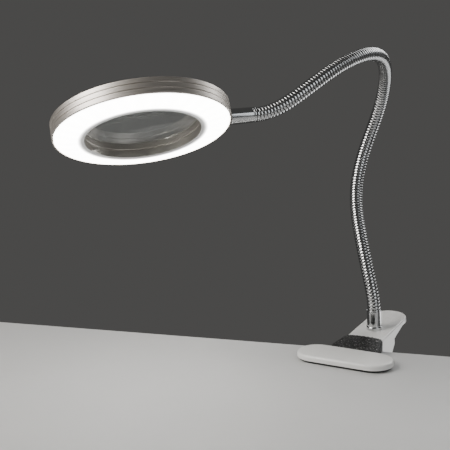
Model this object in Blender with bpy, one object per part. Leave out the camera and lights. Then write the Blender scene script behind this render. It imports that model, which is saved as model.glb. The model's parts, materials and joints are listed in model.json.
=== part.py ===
"""Clip-on ring magnifier lamp: spring clip, gooseneck and lit ring head with a lens.

Frame: origin at the centre of the upper jaw pad's underside, on the tabletop. +X runs along the
jaw bar, +Y goes back towards the clip's handles and +Z is up. All sizes below are millimetres.
Each mesh is made in millimetres and scaled to metres when its object is finished.
"""

import math

import bmesh
import bpy
import numpy as np
from mathutils import Matrix, Vector

MM = 0.001
GAP = 0.3                      # clearance between touching pieces

# ---- clip: jaws -----------------------------------------------------------------------------
JAW_LENGTH = 86.0
JAW_WIDTH = 36.0
JAW_TOP = 7.2
JAW_EDGE = 2.0                 # rounding of the jaw cover's top edge
JAW_WALL = 2.0
PAD_INSET = 1.0
PAD_THICKNESS = 1.8
COVER_BOTTOM = 2.1
PLATE_BOTTOM = 2.5
PLATE_TOP = 4.9
JAW_ROOF = 5.2                 # underside of the jaw cover's roof
PLATE_INSET = 2.8
BOARD = 20.0                   # thickness of the tabletop that the open jaws hold
ROOT_HALF = 16.0               # half width of the spine where it enters the jaw cover
JAW_SCREW_X = 27.0

# ---- clip: black block between jaw and lever ------------------------------------------------
BLOCK_FRONT = 18.3
BLOCK_REAR = 44.3
LOWER_BLOCK_REAR = 40.0
BLOCK_HALF_FRONT = 23.4
BLOCK_HALF_REAR = 17.3
BLOCK_BOTTOM = 0.5
BLOCK_TOP_FRONT = 6.2
BLOCK_TOP_REAR = 10.3
BLOCK_CROWN = 1.0
BLOCK_CORNER = 2.8

# ---- clip: levers ---------------------------------------------------------------------------
LEVER_PITCH = math.radians(5.0)
LEVER_FRONT = (44.6, 9.4)      # y, z of the lever's front edge
LEVER_LENGTH = 74.6
LEVER_HALF = 16.8
LEVER_WALL = 2.2
LEVER_EDGE = 1.2
TONGUE_HALF = 13.9
TONGUE_TOP = -2.6
TONGUE_BOTTOM = -5.6
TONGUE_LENGTH = 60.0
EAR_INNER = 10.6
EAR_RADIUS = 8.0
COVER_EAR_RADIUS = 8.6
LEVER_SCREW_AT = 54.0

PIVOT = (60.0, -10.0)          # y, z of the clip's pivot axis
PIN_RADIUS = 2.0
PIN_HALF = 14.2
PIN_HOLE = 2.35

LOWER_PITCH = math.radians(-30.0)
LOWER_REACH = 62.0             # pivot to the lower handle's rear end
LOWER_START = 20.0
LOWER_PLATE_INNER = 7.6
LOWER_PLATE_OUTER = 10.3
LOWER_DISC = 7.0
LOWER_TONGUE_TOP = -5.9
LOWER_TONGUE_BOTTOM = -8.5
LOWER_SKIN = -11.2             # outer face of the lower lever's cover
LOWER_SCREWS = (30.0, 48.0)

# ---- clip: torsion spring -------------------------------------------------------------------
WIRE_RADIUS = 0.9
COIL_RADIUS = 4.6
COIL_HALF = 6.35
COIL_TURNS = 5
COIL_STEPS = 11                # points for each turn

# ---- gooseneck ------------------------------------------------------------------------------
FOOT_AT = 23.3                 # lever front edge to the neck's axis, along the slope
FERRULE_HEIGHT = 18.0
FERRULE_RADIUS = 6.8
FLANGE_RADIUS = 7.2
NECK_RADIUS = 6.0
NECK_BORE = 3.3
NECK_SIDES = 12
NECK_SEGMENTS = 9
NECK_SOCKET = 6.5              # radius of each segment's hollow end, around its neighbour's ball
NECK_IN_FERRULE = 12.6
STUD_RADIUS = 2.9
STUD_BOTTOM = -13.5
LEAD_RADIUS = 1.5
LEAD_BORE = 1.8
ROUTE = (
    (0.0, 66.2, 30.0), (-8.0, 71.5, 62.0), (-24.0, 89.5, 97.0), (-37.5, 113.5, 132.0),
    (-36.5, 130.5, 168.0), (-24.0, 134.0, 206.0), (-8.5, 110.5, 243.0), (-3.0, 70.0, 258.0),
    (-14.5, 20.5, 249.0), (-34.0, -15.0, 227.0), (-59.6, -42.5, 211.8),
)

# ---- ring head: local x runs to the gooseneck, local z up through the lens, 0 at the lower rim --
HEAD_CENTRE = (-125.5, -106.9, 201.3)
HEAD_EULER = (-26.8, -3.25, 42.7)        # degrees
RING_RADIUS = 71.0
RING_HEIGHT = 13.0
RING_WALL = 1.4
RING_SIDES = 48
INNER_SIDES = 40               # for the ring's hidden pieces
GROOVES = (4.4, 8.8)
GROOVE_DEPTH = 0.5
GROOVE_HALF = 0.35
OPENING = 46.0                 # radius of the view through the ring
SLEEVE_OUTER = 47.2
NECK_LEVEL = 6.0               # height of the gooseneck's axis above the lower rim
HEAD_FERRULE = (71.3, 92.2)
LED_COUNT = 32
LED_CIRCLE = 58.5
SCREW_CIRCLE = 60.0
LENS_SAG = 3.3
LENS_RADIUS = 46.9
LENS_SEAT = (9.0, 11.4)

COLOURS = {                    # name: (colour, metallic, roughness)
    "white_plastic": ((0.86, 0.86, 0.83), 0.0, 0.35),
    "black_plastic": ((0.02, 0.02, 0.022), 0.0, 0.55),
    "rubber": ((0.015, 0.015, 0.015), 0.0, 0.8),
    "chrome": ((0.75, 0.76, 0.77), 1.0, 0.12),
    "steel": ((0.55, 0.55, 0.55), 1.0, 0.3),
    "brushed_nickel": ((0.62, 0.58, 0.54), 1.0, 0.32),
    "aluminium": ((0.7, 0.71, 0.72), 1.0, 0.4),
    "opal": ((0.97, 0.97, 0.95), 0.0, 0.4),
    "glass": ((0.9, 0.95, 0.93), 0.0, 0.03),
    "board": ((0.9, 0.9, 0.86), 0.0, 0.5),
    "lead": ((0.03, 0.03, 0.03), 0.0, 0.6),
}


# ---- scene and object helpers ---------------------------------------------------------------
def clear_scene():
    for old in list(bpy.data.objects):
        bpy.data.objects.remove(old, do_unlink=True)


def material(name):
    found = bpy.data.materials.get(name)
    if found:
        return found
    colour, metallic, roughness = COLOURS[name]
    made = bpy.data.materials.new(name)
    made.use_nodes = True
    shader = made.node_tree.nodes["Principled BSDF"]
    shader.inputs["Base Color"].default_value = (*colour, 1.0)
    shader.inputs["Metallic"].default_value = metallic
    shader.inputs["Roughness"].default_value = roughness
    return made


def link(name, mesh):
    made = bpy.data.objects.new(name, mesh)
    bpy.context.scene.collection.objects.link(made)
    return made


def from_bmesh(name, bm, matrix=None):
    """An object with outward faces from bm, moved by matrix."""
    bmesh.ops.remove_doubles(bm, verts=bm.verts, dist=1e-4)
    bmesh.ops.recalc_face_normals(bm, faces=bm.faces)
    if matrix is not None:
        bm.transform(matrix)
        if matrix.determinant() < 0:
            bmesh.ops.reverse_faces(bm, faces=bm.faces)
    mesh = bpy.data.meshes.new(name)
    bm.to_mesh(mesh)
    bm.free()
    return link(name, mesh)


def boolean(target, cutter, operation="DIFFERENCE"):
    """Applies one Boolean to target and removes the cutter."""
    modifier = target.modifiers.new("boolean", "BOOLEAN")
    modifier.operation = operation
    modifier.object = cutter
    graph = bpy.context.evaluated_depsgraph_get()
    mesh = bpy.data.meshes.new_from_object(target.evaluated_get(graph))
    target.modifiers.clear()
    target.data = mesh
    bpy.data.objects.remove(cutter, do_unlink=True)
    return target


def cut(target, *cutters):
    for cutter in cutters:
        boolean(target, cutter)
    return target


def unite(target, *others):
    for other in others:
        boolean(target, other, "UNION")
    return target


def finish(piece, finish_name, parent):
    """Gives a piece its material, metres, its origin on its body's pivot and its parent empty."""
    pivot = parent.location.copy()
    piece.data.transform(Matrix.Scale(MM, 4))
    piece.data.transform(Matrix.Translation(-pivot))
    piece.data.materials.clear()
    piece.data.materials.append(material(finish_name))
    piece.data.shade_smooth()
    piece.data.set_sharp_from_angle(angle=math.radians(35))
    piece.parent = parent
    piece.matrix_parent_inverse = Matrix.Translation(-pivot)
    piece.location = pivot
    return piece


def body_empty(name, point, parent=None):
    """An empty at a body's pivot, given in millimetres."""
    made = bpy.data.objects.new(name, None)
    bpy.context.scene.collection.objects.link(made)
    made.location = Vector(point) * MM
    if parent is not None:
        made.parent = parent
        made.matrix_parent_inverse = Matrix.Translation(-parent.location)
    return made


# ---- shapes ---------------------------------------------------------------------------------
def lathe(name, profile, sides, matrix=None):
    """A closed profile of (radius, height) points turned about local z."""
    bm = bmesh.new()
    verts = [bm.verts.new((r, 0.0, z)) for r, z in profile]
    closed = min(r for r, _ in profile) > 0.0
    pairs = list(zip(verts, verts[1:]))
    if closed:
        pairs.append((verts[-1], verts[0]))
    edges = [bm.edges.new(pair) for pair in pairs]
    bmesh.ops.spin(bm, geom=verts + edges, cent=(0, 0, 0), axis=(0, 0, 1), dvec=(0, 0, 0),
                   angle=2 * math.pi, steps=sides, use_merge=True, use_duplicate=False)
    return from_bmesh(name, bm, matrix)


def tube_profile(inner, outer, low, high):
    return [(inner, low), (outer, low), (outer, high), (inner, high)]


def rod(name, radius, low, high, matrix=None, sides=20):
    return lathe(name, [(0.0, low), (radius, low), (radius, high), (0.0, high)], sides, matrix)


def loft(name, rings, matrix=None):
    """A solid through rings of equal point counts, with flat ends."""
    bm = bmesh.new()
    made = [[bm.verts.new(p) for p in ring] for ring in rings]
    count = len(made[0])
    for low, high in zip(made, made[1:]):
        for i in range(count):
            j = (i + 1) % count
            bm.faces.new((low[i], low[j], high[j], high[i]))
    bm.faces.new(made[0])
    bm.faces.new(made[-1])
    return from_bmesh(name, bm, matrix)


def prism(name, outline, low, high, matrix=None):
    """A flat outline of (x, y) points extruded along local z."""
    rings = [[(x, y, z) for x, y in outline] for z in (low, high)]
    return loft(name, rings, matrix)


def block(name, low, high, matrix=None):
    (x0, y0, z0), (x1, y1, z1) = low, high
    return prism(name, [(x0, y0), (x1, y0), (x1, y1), (x0, y1)], z0, z1, matrix)


def side_prism(name, outline, low, high, matrix=None):
    """An outline of (y, z) points extruded along x."""
    rings = [[(x, y, z) for y, z in outline] for x in (low, high)]
    return loft(name, rings, matrix)


def stadium(length, width, inset=0.0, steps=10):
    """A bar with round ends, centred on the origin, long in x."""
    radius = width / 2 - inset
    middle = length / 2 - width / 2
    points = []
    for side, start in ((1, -90), (-1, 90)):
        for k in range(steps + 1):
            a = math.radians(start + 180 * k / steps)
            points.append((side * middle + radius * math.cos(a), radius * math.sin(a)))
    return points


def tongue_outline(half, start, end, inset=0.0, steps=12):
    """A strip along y from start, with a round rear end at end."""
    radius = half - inset
    points = [(-radius, start), (radius, start)]
    for k in range(steps + 1):
        a = math.pi * k / steps
        points.append((radius * math.cos(a), end - half + radius * math.sin(a)))
    return points


def arc(centre, radius, start, end, steps):
    """Points on a circle in two dimensions, from start to end degrees."""
    points = []
    for k in range(steps + 1):
        a = math.radians(start + (end - start) * k / steps)
        points.append((centre[0] + radius * math.cos(a), centre[1] + radius * math.sin(a)))
    return points


def rounded_stack(outline, low, high, radius):
    """Rings of a prism whose top edge is rounded; outline is a function of the inset."""
    rings = [(0.0, low)]
    for angle in (0.0, 45.0, 90.0):
        a = math.radians(angle)
        rings.append((radius * (1 - math.cos(a)), high - radius * (1 - math.sin(a))))
    return [[(x, y, z) for x, y in outline(inset)] for inset, z in rings]


def frame_matrix(origin, x_axis, y_axis):
    """A matrix with the given origin and axes; z follows from the right hand rule."""
    x = Vector(x_axis).normalized()
    y = Vector(y_axis).normalized()
    matrix = Matrix((x, y, x.cross(y))).transposed().to_4x4()
    matrix.translation = Vector(origin)
    return matrix


def screw_profile(head_radius, head_height, shaft_radius, length):
    """A pan head above z = 0 and a shaft below it."""
    return [
        (0.0, -length), (shaft_radius, -length), (shaft_radius, 0.0), (head_radius, 0.0),
        (head_radius, head_height * 0.6), (head_radius * 0.6, head_height), (0.0, head_height),
    ]


def nut(name, flats, low, high, hole, matrix):
    corner = flats / 2 / math.cos(math.radians(30))
    outline = arc((0, 0), corner, 0, 300, 5)
    made = prism(name, outline, low, high, matrix)
    return cut(made, rod("hole", hole, low - 1, high + 1, matrix))


# ---- gooseneck route ------------------------------------------------------------------------
def clamped_spline(points, start, end):
    """Knots, points and second derivatives of a cubic spline with given end directions."""
    points = np.array(points, float)
    knots = np.r_[0.0, np.cumsum(np.linalg.norm(np.diff(points, axis=0), axis=1))]
    step = np.diff(knots)
    slope = np.diff(points, axis=0) / step[:, None]
    count = len(points)
    system = np.zeros((count, count))
    right = np.zeros((count, 3))
    system[0, :2] = 2 * step[0], step[0]
    right[0] = 6 * (slope[0] - start)
    system[-1, -2:] = step[-1], 2 * step[-1]
    right[-1] = 6 * (end - slope[-1])
    for i in range(1, count - 1):
        system[i, i - 1:i + 2] = step[i - 1], 2 * (step[i - 1] + step[i]), step[i]
        right[i] = 6 * (slope[i] - slope[i - 1])
    return knots, points, np.linalg.solve(system, right)


def spline_point(spline, at):
    knots, points, second = spline
    i = int(np.clip(np.searchsorted(knots, at) - 1, 0, len(knots) - 2))
    h = knots[i + 1] - knots[i]
    a, b = (knots[i + 1] - at) / h, (at - knots[i]) / h
    bend = ((a ** 3 - a) * second[i] + (b ** 3 - b) * second[i + 1]) * h * h / 6
    return a * points[i] + b * points[i + 1] + bend


def neck_path(start, end, samples=600):
    """Evenly spaced points, tangents and side directions along the gooseneck's centreline."""
    spline = clamped_spline(ROUTE, start, end)
    rough = np.array([spline_point(spline, t) for t in np.linspace(0, spline[0][-1], 2000)])
    length = np.r_[0.0, np.cumsum(np.linalg.norm(np.diff(rough, axis=0), axis=1))]
    along = np.linspace(0, length[-1], samples)
    points = np.column_stack([np.interp(along, length, rough[:, i]) for i in range(3)])
    tangents = np.gradient(points, along, axis=0)
    tangents /= np.linalg.norm(tangents, axis=1)[:, None]
    sides = [np.array((1.0, 0.0, 0.0))]
    for tangent in tangents[1:]:
        side = sides[-1] - tangent * (sides[-1] @ tangent)
        sides.append(side / np.linalg.norm(side))
    return along, points, tangents, np.array(sides)


def path_at(path, at):
    """Point, tangent and side direction at a distance along the path, straight on below zero."""
    along, points, tangents, sides = path
    values = []
    for table in (points, tangents, sides):
        values.append(np.array([np.interp(at, along, table[:, i]) for i in range(3)]))
    point, tangent, side = values
    tangent = tangent / np.linalg.norm(tangent)
    side = side - tangent * (side @ tangent)
    if at < 0:
        point = point + tangent * at
    return point, tangent, side / np.linalg.norm(side)


def ring_of(point, tangent, side, radius, sides=NECK_SIDES):
    other = np.cross(tangent, side)
    angles = [2 * math.pi * k / sides for k in range(sides)]
    return [point + radius * (math.cos(a) * side + math.sin(a) * other) for a in angles]


def neck_rings(path, start, end, ball, socket):
    """Rings of one hollow neck segment, outside from start to end and back through the bore."""
    here, there = path_at(path, start), path_at(path, end)
    first = math.sqrt(NECK_SOCKET ** 2 - NECK_RADIUS ** 2) if socket else 0.0
    margin = 7.0 if socket else -start
    reach = end - start - margin - 3.0
    steps = max(3, round(reach / 9.0))
    stations = [start + margin + reach * k / steps for k in range(steps + 1)]
    outer, inner = [], []

    def shifted(frame, along, radius):
        point, tangent, side = frame
        return ring_of(point + tangent * along, tangent, side, radius)

    outer.append(shifted(here, first, NECK_RADIUS))
    for station in stations:
        outer.append(ring_of(*path_at(path, station), NECK_RADIUS))
    outer.append(shifted(there, 0.0, NECK_RADIUS))
    if ball:
        for degrees in (20.0, 40.0):
            a = math.radians(degrees)
            outer.append(shifted(there, NECK_RADIUS * math.sin(a), NECK_RADIUS * math.cos(a)))
        tip = math.sqrt(NECK_RADIUS ** 2 - NECK_BORE ** 2)
        inner.append(shifted(there, tip, NECK_BORE))
    else:
        inner.append(shifted(there, 0.0, NECK_BORE))
    for station in reversed(stations):
        inner.append(ring_of(*path_at(path, station), NECK_BORE))
    if socket:
        deep = math.sqrt(NECK_SOCKET ** 2 - NECK_BORE ** 2)
        inner.append(shifted(here, deep, NECK_BORE))
        a = math.radians(50.0)
        inner.append(shifted(here, NECK_SOCKET * math.sin(a) + 0.05, NECK_SOCKET * math.cos(a)))
    else:
        inner.append(shifted(here, 0.0, NECK_BORE))
    return outer + inner


def closed_tube(name, rings):
    """A solid whose rings form a loop: down the outside and back up the bore."""
    bm = bmesh.new()
    made = [[bm.verts.new(p) for p in ring] for ring in rings]
    count = len(made[0])
    for k, low in enumerate(made):
        high = made[(k + 1) % len(made)]
        for i in range(count):
            j = (i + 1) % count
            bm.faces.new((low[i], low[j], high[j], high[i]))
    return from_bmesh(name, bm)


def wire(name, points, radius, resolution):
    """A round wire along points, as a mesh, in millimetres."""
    curve = bpy.data.curves.new(name, "CURVE")
    curve.dimensions = "3D"
    curve.bevel_depth = radius
    curve.bevel_resolution = resolution
    curve.use_fill_caps = True
    spline = curve.splines.new("POLY")
    spline.points.add(len(points) - 1)
    for target, point in zip(spline.points, points):
        target.co = (*point, 1.0)
    guide = link("guide", curve)
    graph = bpy.context.evaluated_depsgraph_get()
    mesh = bpy.data.meshes.new_from_object(guide.evaluated_get(graph))
    bpy.data.objects.remove(guide, do_unlink=True)
    bm = bmesh.new()
    bm.from_mesh(mesh)
    return from_bmesh(name, bm)


# ---- clip pieces ----------------------------------------------------------------------------
MIRROR = Matrix.Translation((0, 0, -BOARD)) @ Matrix.Scale(-1, 4, (0, 0, 1))
UPPER_LEVER = frame_matrix((0, *LEVER_FRONT), (1, 0, 0),
                           (0, math.cos(LEVER_PITCH), math.sin(LEVER_PITCH)))
LOWER_LEVER = frame_matrix((0, *PIVOT), (1, 0, 0),
                           (0, math.cos(LOWER_PITCH), math.sin(LOWER_PITCH)))
NECK_FOOT = UPPER_LEVER @ Matrix.Translation((0, FOOT_AT, 0))
PIVOT_AXIS = Matrix.Translation((0, *PIVOT)) @ Matrix.Rotation(math.radians(90), 4, "Y")
QUARTER = Matrix.Rotation(math.radians(90), 4, "Z")


def jaw_pad(name, place):
    outline = stadium(JAW_LENGTH - 2 * PAD_INSET, JAW_WIDTH - 2 * PAD_INSET)
    return prism(name, outline, 0.0, PAD_THICKNESS, place)


def jaw_cover(name, place):
    def outline(inset):
        return stadium(JAW_LENGTH, JAW_WIDTH, inset)

    made = loft(name, rounded_stack(outline, COVER_BOTTOM, JAW_TOP, JAW_EDGE), place)
    pocket = prism("pocket", stadium(JAW_LENGTH, JAW_WIDTH, JAW_WALL), 0, JAW_ROOF, place)
    doorway = block("doorway", (-ROOT_HALF - 0.5, 12, 0), (ROOT_HALF + 0.5, 20, JAW_ROOF), place)
    cut(made, pocket, doorway)
    for side in (-1, 1):
        hole = rod("pilot", 1.5, JAW_ROOF - 1, JAW_ROOF + 1.4, sides=12)
        hole.data.transform(place @ Matrix.Translation((side * JAW_SCREW_X, 0, 0)))
        flip_if_mirrored(hole, place)
        cut(made, hole)
    return made


def flip_if_mirrored(piece, place):
    if place.determinant() < 0:
        piece.data.flip_normals()


def jaw_screw(name, side, place):
    profile = screw_profile(2.2, 1.0, 1.2, 3.0)
    down = Matrix.Translation((side * JAW_SCREW_X, 0, PLATE_BOTTOM + 1.0))
    return lathe(name, profile, 12, place @ down @ Matrix.Rotation(math.pi, 4, "X"))


def jaw_plate(place):
    """The spine's plate inside the jaw cover, with two recesses for screw heads."""
    plate = prism("plate", stadium(JAW_LENGTH, JAW_WIDTH, PLATE_INSET), PLATE_BOTTOM, PLATE_TOP, place)
    root = block("root", (-ROOT_HALF, 8, PLATE_BOTTOM), (ROOT_HALF, 22, PLATE_TOP - 0.02), place)
    unite(plate, root)
    for side in (-1, 1):
        profile = [(0, 0), (2.6, 0), (2.6, PLATE_BOTTOM + 1.3), (1.5, PLATE_BOTTOM + 1.3),
                   (1.5, 6.0), (0, 6.0)]
        at = Matrix.Translation((side * JAW_SCREW_X, 0, 0))
        cut(plate, lathe("recess", profile, 14, place @ at))
    return plate


def block_section(y, half, top, bottom=BLOCK_BOTTOM):
    """One upright section of the textured block: flat below, crowned above, round corners."""
    points = [(-half + 0.6, y, bottom), (half - 0.6, y, bottom), (half, y, bottom + 0.6)]
    corner = arc((half - BLOCK_CORNER, top - BLOCK_CORNER), BLOCK_CORNER, 0, 90, 4)
    flat = [((half - BLOCK_CORNER) * (1 - k / 3), top) for k in range(1, 6)]
    over = corner + flat + [(-x, z) for x, z in reversed(corner)]
    points += [(x, y, z + BLOCK_CROWN * (1 - (x / half) ** 2)) for x, z in over]
    points.append((-half, y, bottom + 0.6))
    return points


def textured_block(name, rear, place):
    rings = []
    for k in range(5):
        share = k / 4
        y = BLOCK_FRONT + (rear - BLOCK_FRONT) * share
        reach = (y - BLOCK_FRONT) / (BLOCK_REAR - BLOCK_FRONT)
        half = BLOCK_HALF_FRONT + (BLOCK_HALF_REAR - BLOCK_HALF_FRONT) * reach
        top = BLOCK_TOP_FRONT + (BLOCK_TOP_REAR - BLOCK_TOP_FRONT) * math.sin(reach * math.pi / 2)
        rings.append(block_section(y, half, top))
    return loft(name, rings, place)


def upper_spine(parent):
    """Jaw plate, textured block, lever tongue and the two outer hinge ears, one moulding."""
    made = textured_block("upper_spine", BLOCK_REAR, Matrix.Identity(4))
    unite(made, jaw_plate(Matrix.Identity(4)))
    tongue = prism("tongue", tongue_outline(TONGUE_HALF, -5.0, TONGUE_LENGTH), TONGUE_BOTTOM,
                   TONGUE_TOP, UPPER_LEVER)
    unite(made, tongue)
    ear = [(42.0, 1.5), (46.5, 0.6), (49.0, -3.0)] + arc(PIVOT, EAR_RADIUS, 180, 360, 10)
    ear += [(68.0, 4.9), (42.0, 3.2)]
    for side in (-1, 1):
        low, high = sorted((side * EAR_INNER, side * (TONGUE_HALF - 0.05)))
        unite(made, side_prism("ear", ear, low, high))
    cut(made, rod("pin_hole", PIN_HOLE, -20, 20, PIVOT_AXIS))
    cut(made, rod("stud_hole", STUD_RADIUS + 0.4, -9, 1, NECK_FOOT))
    screw_at = UPPER_LEVER @ Matrix.Translation((0, LEVER_SCREW_AT, 0))
    cut(made, rod("screw_hole", 1.6, -9, 1, screw_at, sides=12))
    return finish(made, "black_plastic", parent)


def upper_lever_cover(parent):
    """White shell over the lever, with side skirts that run down over the hinge ears."""
    def outline(inset):
        return tongue_outline(LEVER_HALF, 0.0, LEVER_LENGTH, inset)

    made = loft("upper_lever_cover", rounded_stack(outline, -32, 0.0, LEVER_EDGE), UPPER_LEVER)
    pivot = UPPER_LEVER.inverted() @ Vector((0, *PIVOT))
    side = [(-2, 2), (80, 2), (80, -4.1), (50, -4.4), (34, -8.0), (29.5, -9.6), (29.5, -14.0)]
    side += arc((pivot.y, pivot.z), COVER_EAR_RADIUS, -5, -180, 9)
    side += [(2.0, -12.5), (-0.5, -9.8), (-2, -9.8)]
    boolean(made, side_prism("side", side, -30, 30, UPPER_LEVER), "INTERSECT")
    room = tongue_outline(LEVER_HALF, -3.0, LEVER_LENGTH, LEVER_WALL)
    cut(made, prism("room", room, -40, -LEVER_WALL, UPPER_LEVER))
    cut(made, rod("stud_hole", STUD_RADIUS + 0.4, -9, 3, NECK_FOOT))
    screw_at = UPPER_LEVER @ Matrix.Translation((0, LEVER_SCREW_AT, 0))
    cut(made, rod("pilot", 1.5, -4, -0.8, screw_at, sides=12))
    return finish(made, "white_plastic", parent)


def lower_spine(parent):
    """Jaw plate, shorter textured block, two inner hinge plates and the lower tongue."""
    made = textured_block("lower_spine", LOWER_BLOCK_REAR, MIRROR)
    unite(made, jaw_plate(MIRROR))
    tongue = prism("tongue", tongue_outline(TONGUE_HALF, LOWER_START + 2, LOWER_REACH - 3.2),
                   LOWER_TONGUE_BOTTOM, LOWER_TONGUE_TOP, LOWER_LEVER)
    neck = block("neck", (-LOWER_PLATE_OUTER + 0.1, 9.5, LOWER_TONGUE_BOTTOM + 0.02),
                 (LOWER_PLATE_OUTER - 0.1, 30, LOWER_TONGUE_TOP - 0.02), LOWER_LEVER)
    rear = [LOWER_LEVER @ Vector((0, s, t)) for s, t in ((26, -5.95), (26, -8.4), (9.0, -8.4))]
    plate = [(36.5, -21.2), (45.5, -20.9)] + arc(PIVOT, LOWER_DISC, 150, 30, 8)
    plate += [(p.y, p.z) for p in rear] + [(46.0, -27.0), (36.5, -27.0)]
    for side in (-1, 1):
        low, high = sorted((side * LOWER_PLATE_INNER, side * LOWER_PLATE_OUTER))
        unite(made, side_prism("plate", plate, low, high))
    unite(made, neck, tongue)
    cut(made, rod("pin_hole", PIN_HOLE, -20, 20, PIVOT_AXIS))
    for at in LOWER_SCREWS:
        place = LOWER_LEVER @ Matrix.Translation((0, at, 0))
        cut(made, rod("screw_hole", 1.6, -10, -4, place, sides=12))
    return finish(made, "black_plastic", parent)


def lower_lever_cover(parent):
    """White shell under the lower handle, its skirts turned up."""
    flip = Matrix.Translation((0, 0, LOWER_SKIN)) @ Matrix.Scale(-1, 4, (0, 0, 1))
    place = LOWER_LEVER @ flip

    def outline(inset):
        return tongue_outline(LEVER_HALF, LOWER_START, LOWER_REACH, inset)

    made = loft("lower_lever_cover", rounded_stack(outline, -12, 0.0, LEVER_EDGE), place)
    side = [(10, 2), (70, 2), (70, -4.2), (50, -4.6), (30, -7.4), (10, -7.4)]
    boolean(made, side_prism("side", side, -30, 30, place), "INTERSECT")
    room = tongue_outline(LEVER_HALF, LOWER_START - 3, LOWER_REACH, LEVER_WALL)
    cut(made, prism("room", room, -20, -LEVER_WALL, place))
    for at in LOWER_SCREWS:
        pilot = rod("pilot", 1.5, -4, -0.8, place @ Matrix.Translation((0, at, 0)), sides=12)
        cut(made, pilot)
    return finish(made, "white_plastic", parent)


def lever_screws(upper, lower):
    """Pan head screws through the tongues into the lever covers."""
    profile = screw_profile(2.6, 1.3, 1.2, 4.3)
    turn = Matrix.Rotation(math.pi, 4, "X")
    at = Matrix.Translation((0, LEVER_SCREW_AT, TONGUE_BOTTOM - GAP))
    finish(lathe("upper_lever_screw", profile, 14, UPPER_LEVER @ at @ turn), "steel", upper)
    for number, along in enumerate(LOWER_SCREWS, 1):
        at = Matrix.Translation((0, along, LOWER_TONGUE_TOP + GAP))
        piece = lathe(f"lower_lever_screw_{number}", profile, 14, LOWER_LEVER @ at)
        finish(piece, "steel", lower)


def torsion_spring(parent):
    """A coil round the pin; one leg lifts the upper lever and the other pushes the lower one down."""
    y0, z0 = PIVOT
    start, turns = 240.0, COIL_TURNS + 100.0 / 360.0
    back = (math.cos(LOWER_PITCH), math.sin(LOWER_PITCH))
    first = (y0 + COIL_RADIUS * math.cos(math.radians(start)),
             z0 + COIL_RADIUS * math.sin(math.radians(start)))
    points = [(-COIL_HALF, first[0] + back[0] * reach, first[1] + back[1] * reach)
              for reach in (26.0, 14.0, 3.0)]
    steps = round(COIL_STEPS * turns)
    for k in range(steps + 1):
        a = math.radians(start - 360.0 * turns * k / steps)
        points.append((-COIL_HALF + 2 * COIL_HALF * k / steps,
                       y0 + COIL_RADIUS * math.cos(a), z0 + COIL_RADIUS * math.sin(a)))
    points += [(COIL_HALF, y, z) for y, z in
               ((59.0, -4.0), (62.5, 0.2), (65.3, 2.9), (68.5, 4.1), (73.0, 4.6), (80.0, 5.2))]
    return finish(wire("torsion_spring", points, WIRE_RADIUS, 1), "steel", parent)


def clip(upper, lower):
    here = Matrix.Identity(4)
    for level, place, body in (("upper", here, upper), ("lower", MIRROR, lower)):
        finish(jaw_pad(f"{level}_jaw_pad", place), "rubber", body)
        finish(jaw_cover(f"{level}_jaw_cover", place), "white_plastic", body)
        for number, side in enumerate((-1, 1), 1):
            finish(jaw_screw(f"{level}_jaw_screw_{number}", side, place), "steel", body)
    upper_spine(upper)
    upper_lever_cover(upper)
    lower_spine(lower)
    lower_lever_cover(lower)
    lever_screws(upper, lower)
    finish(rod("pivot_pin", PIN_RADIUS, -PIN_HALF, PIN_HALF, PIVOT_AXIS), "steel", upper)
    torsion_spring(upper)


# ---- neck foot ------------------------------------------------------------------------------
def neck_foot(parent):
    """Chrome ferrule on the lever, held by a washer and nut, with the lead's gland below."""
    top = FERRULE_HEIGHT
    socket = NECK_RADIUS + GAP
    floor = top - NECK_IN_FERRULE - 1.0
    ferrule = [
        (LEAD_BORE, STUD_BOTTOM), (STUD_RADIUS, STUD_BOTTOM), (STUD_RADIUS, GAP),
        (FLANGE_RADIUS - 0.4, GAP), (FLANGE_RADIUS, GAP + 0.4), (FLANGE_RADIUS, 3.0), (FERRULE_RADIUS, 3.4),
        (FERRULE_RADIUS, top - 0.4), (FERRULE_RADIUS - 0.3, top), (socket, top), (socket, floor),
        (LEAD_BORE, floor),
    ]
    finish(lathe("base_ferrule", ferrule, 24, NECK_FOOT), "chrome", parent)
    washer = tube_profile(STUD_RADIUS + 0.3, 5.1, TONGUE_BOTTOM - 1.3, TONGUE_BOTTOM - GAP)
    finish(lathe("base_washer", washer, 20, NECK_FOOT), "steel", parent)
    low = TONGUE_BOTTOM - 4.6
    hole = STUD_RADIUS + 0.3
    finish(nut("base_nut", 10.0, low, low + 3.0, hole, NECK_FOOT @ QUARTER), "steel", parent)
    gland = [
        (LEAD_BORE + 0.1, -16.6), (3.4, -16.6), (4.0, -15.6), (4.0, low - GAP), (hole, low - GAP),
        (hole, STUD_BOTTOM - GAP), (LEAD_BORE + 0.1, STUD_BOTTOM - GAP),
    ]
    finish(lathe("cord_gland", gland, 16, NECK_FOOT), "black_plastic", parent)


# ---- ring head ------------------------------------------------------------------------------
def head_matrix():
    turns = [math.radians(v) for v in HEAD_EULER]
    matrix = Matrix.Identity(4)
    for angle, axis in zip(turns, "XYZ"):
        matrix = Matrix.Rotation(angle, 4, axis) @ matrix
    matrix.translation = Vector(HEAD_CENTRE)
    return matrix


HEAD = head_matrix()
HEAD_NECK_AXIS = (HEAD @ Matrix.Translation((0, 0, NECK_LEVEL))
                  @ Matrix.Rotation(math.radians(90), 4, "Y"))
HEAD_RADIAL = HEAD.to_3x3() @ Vector((1, 0, 0))


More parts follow.
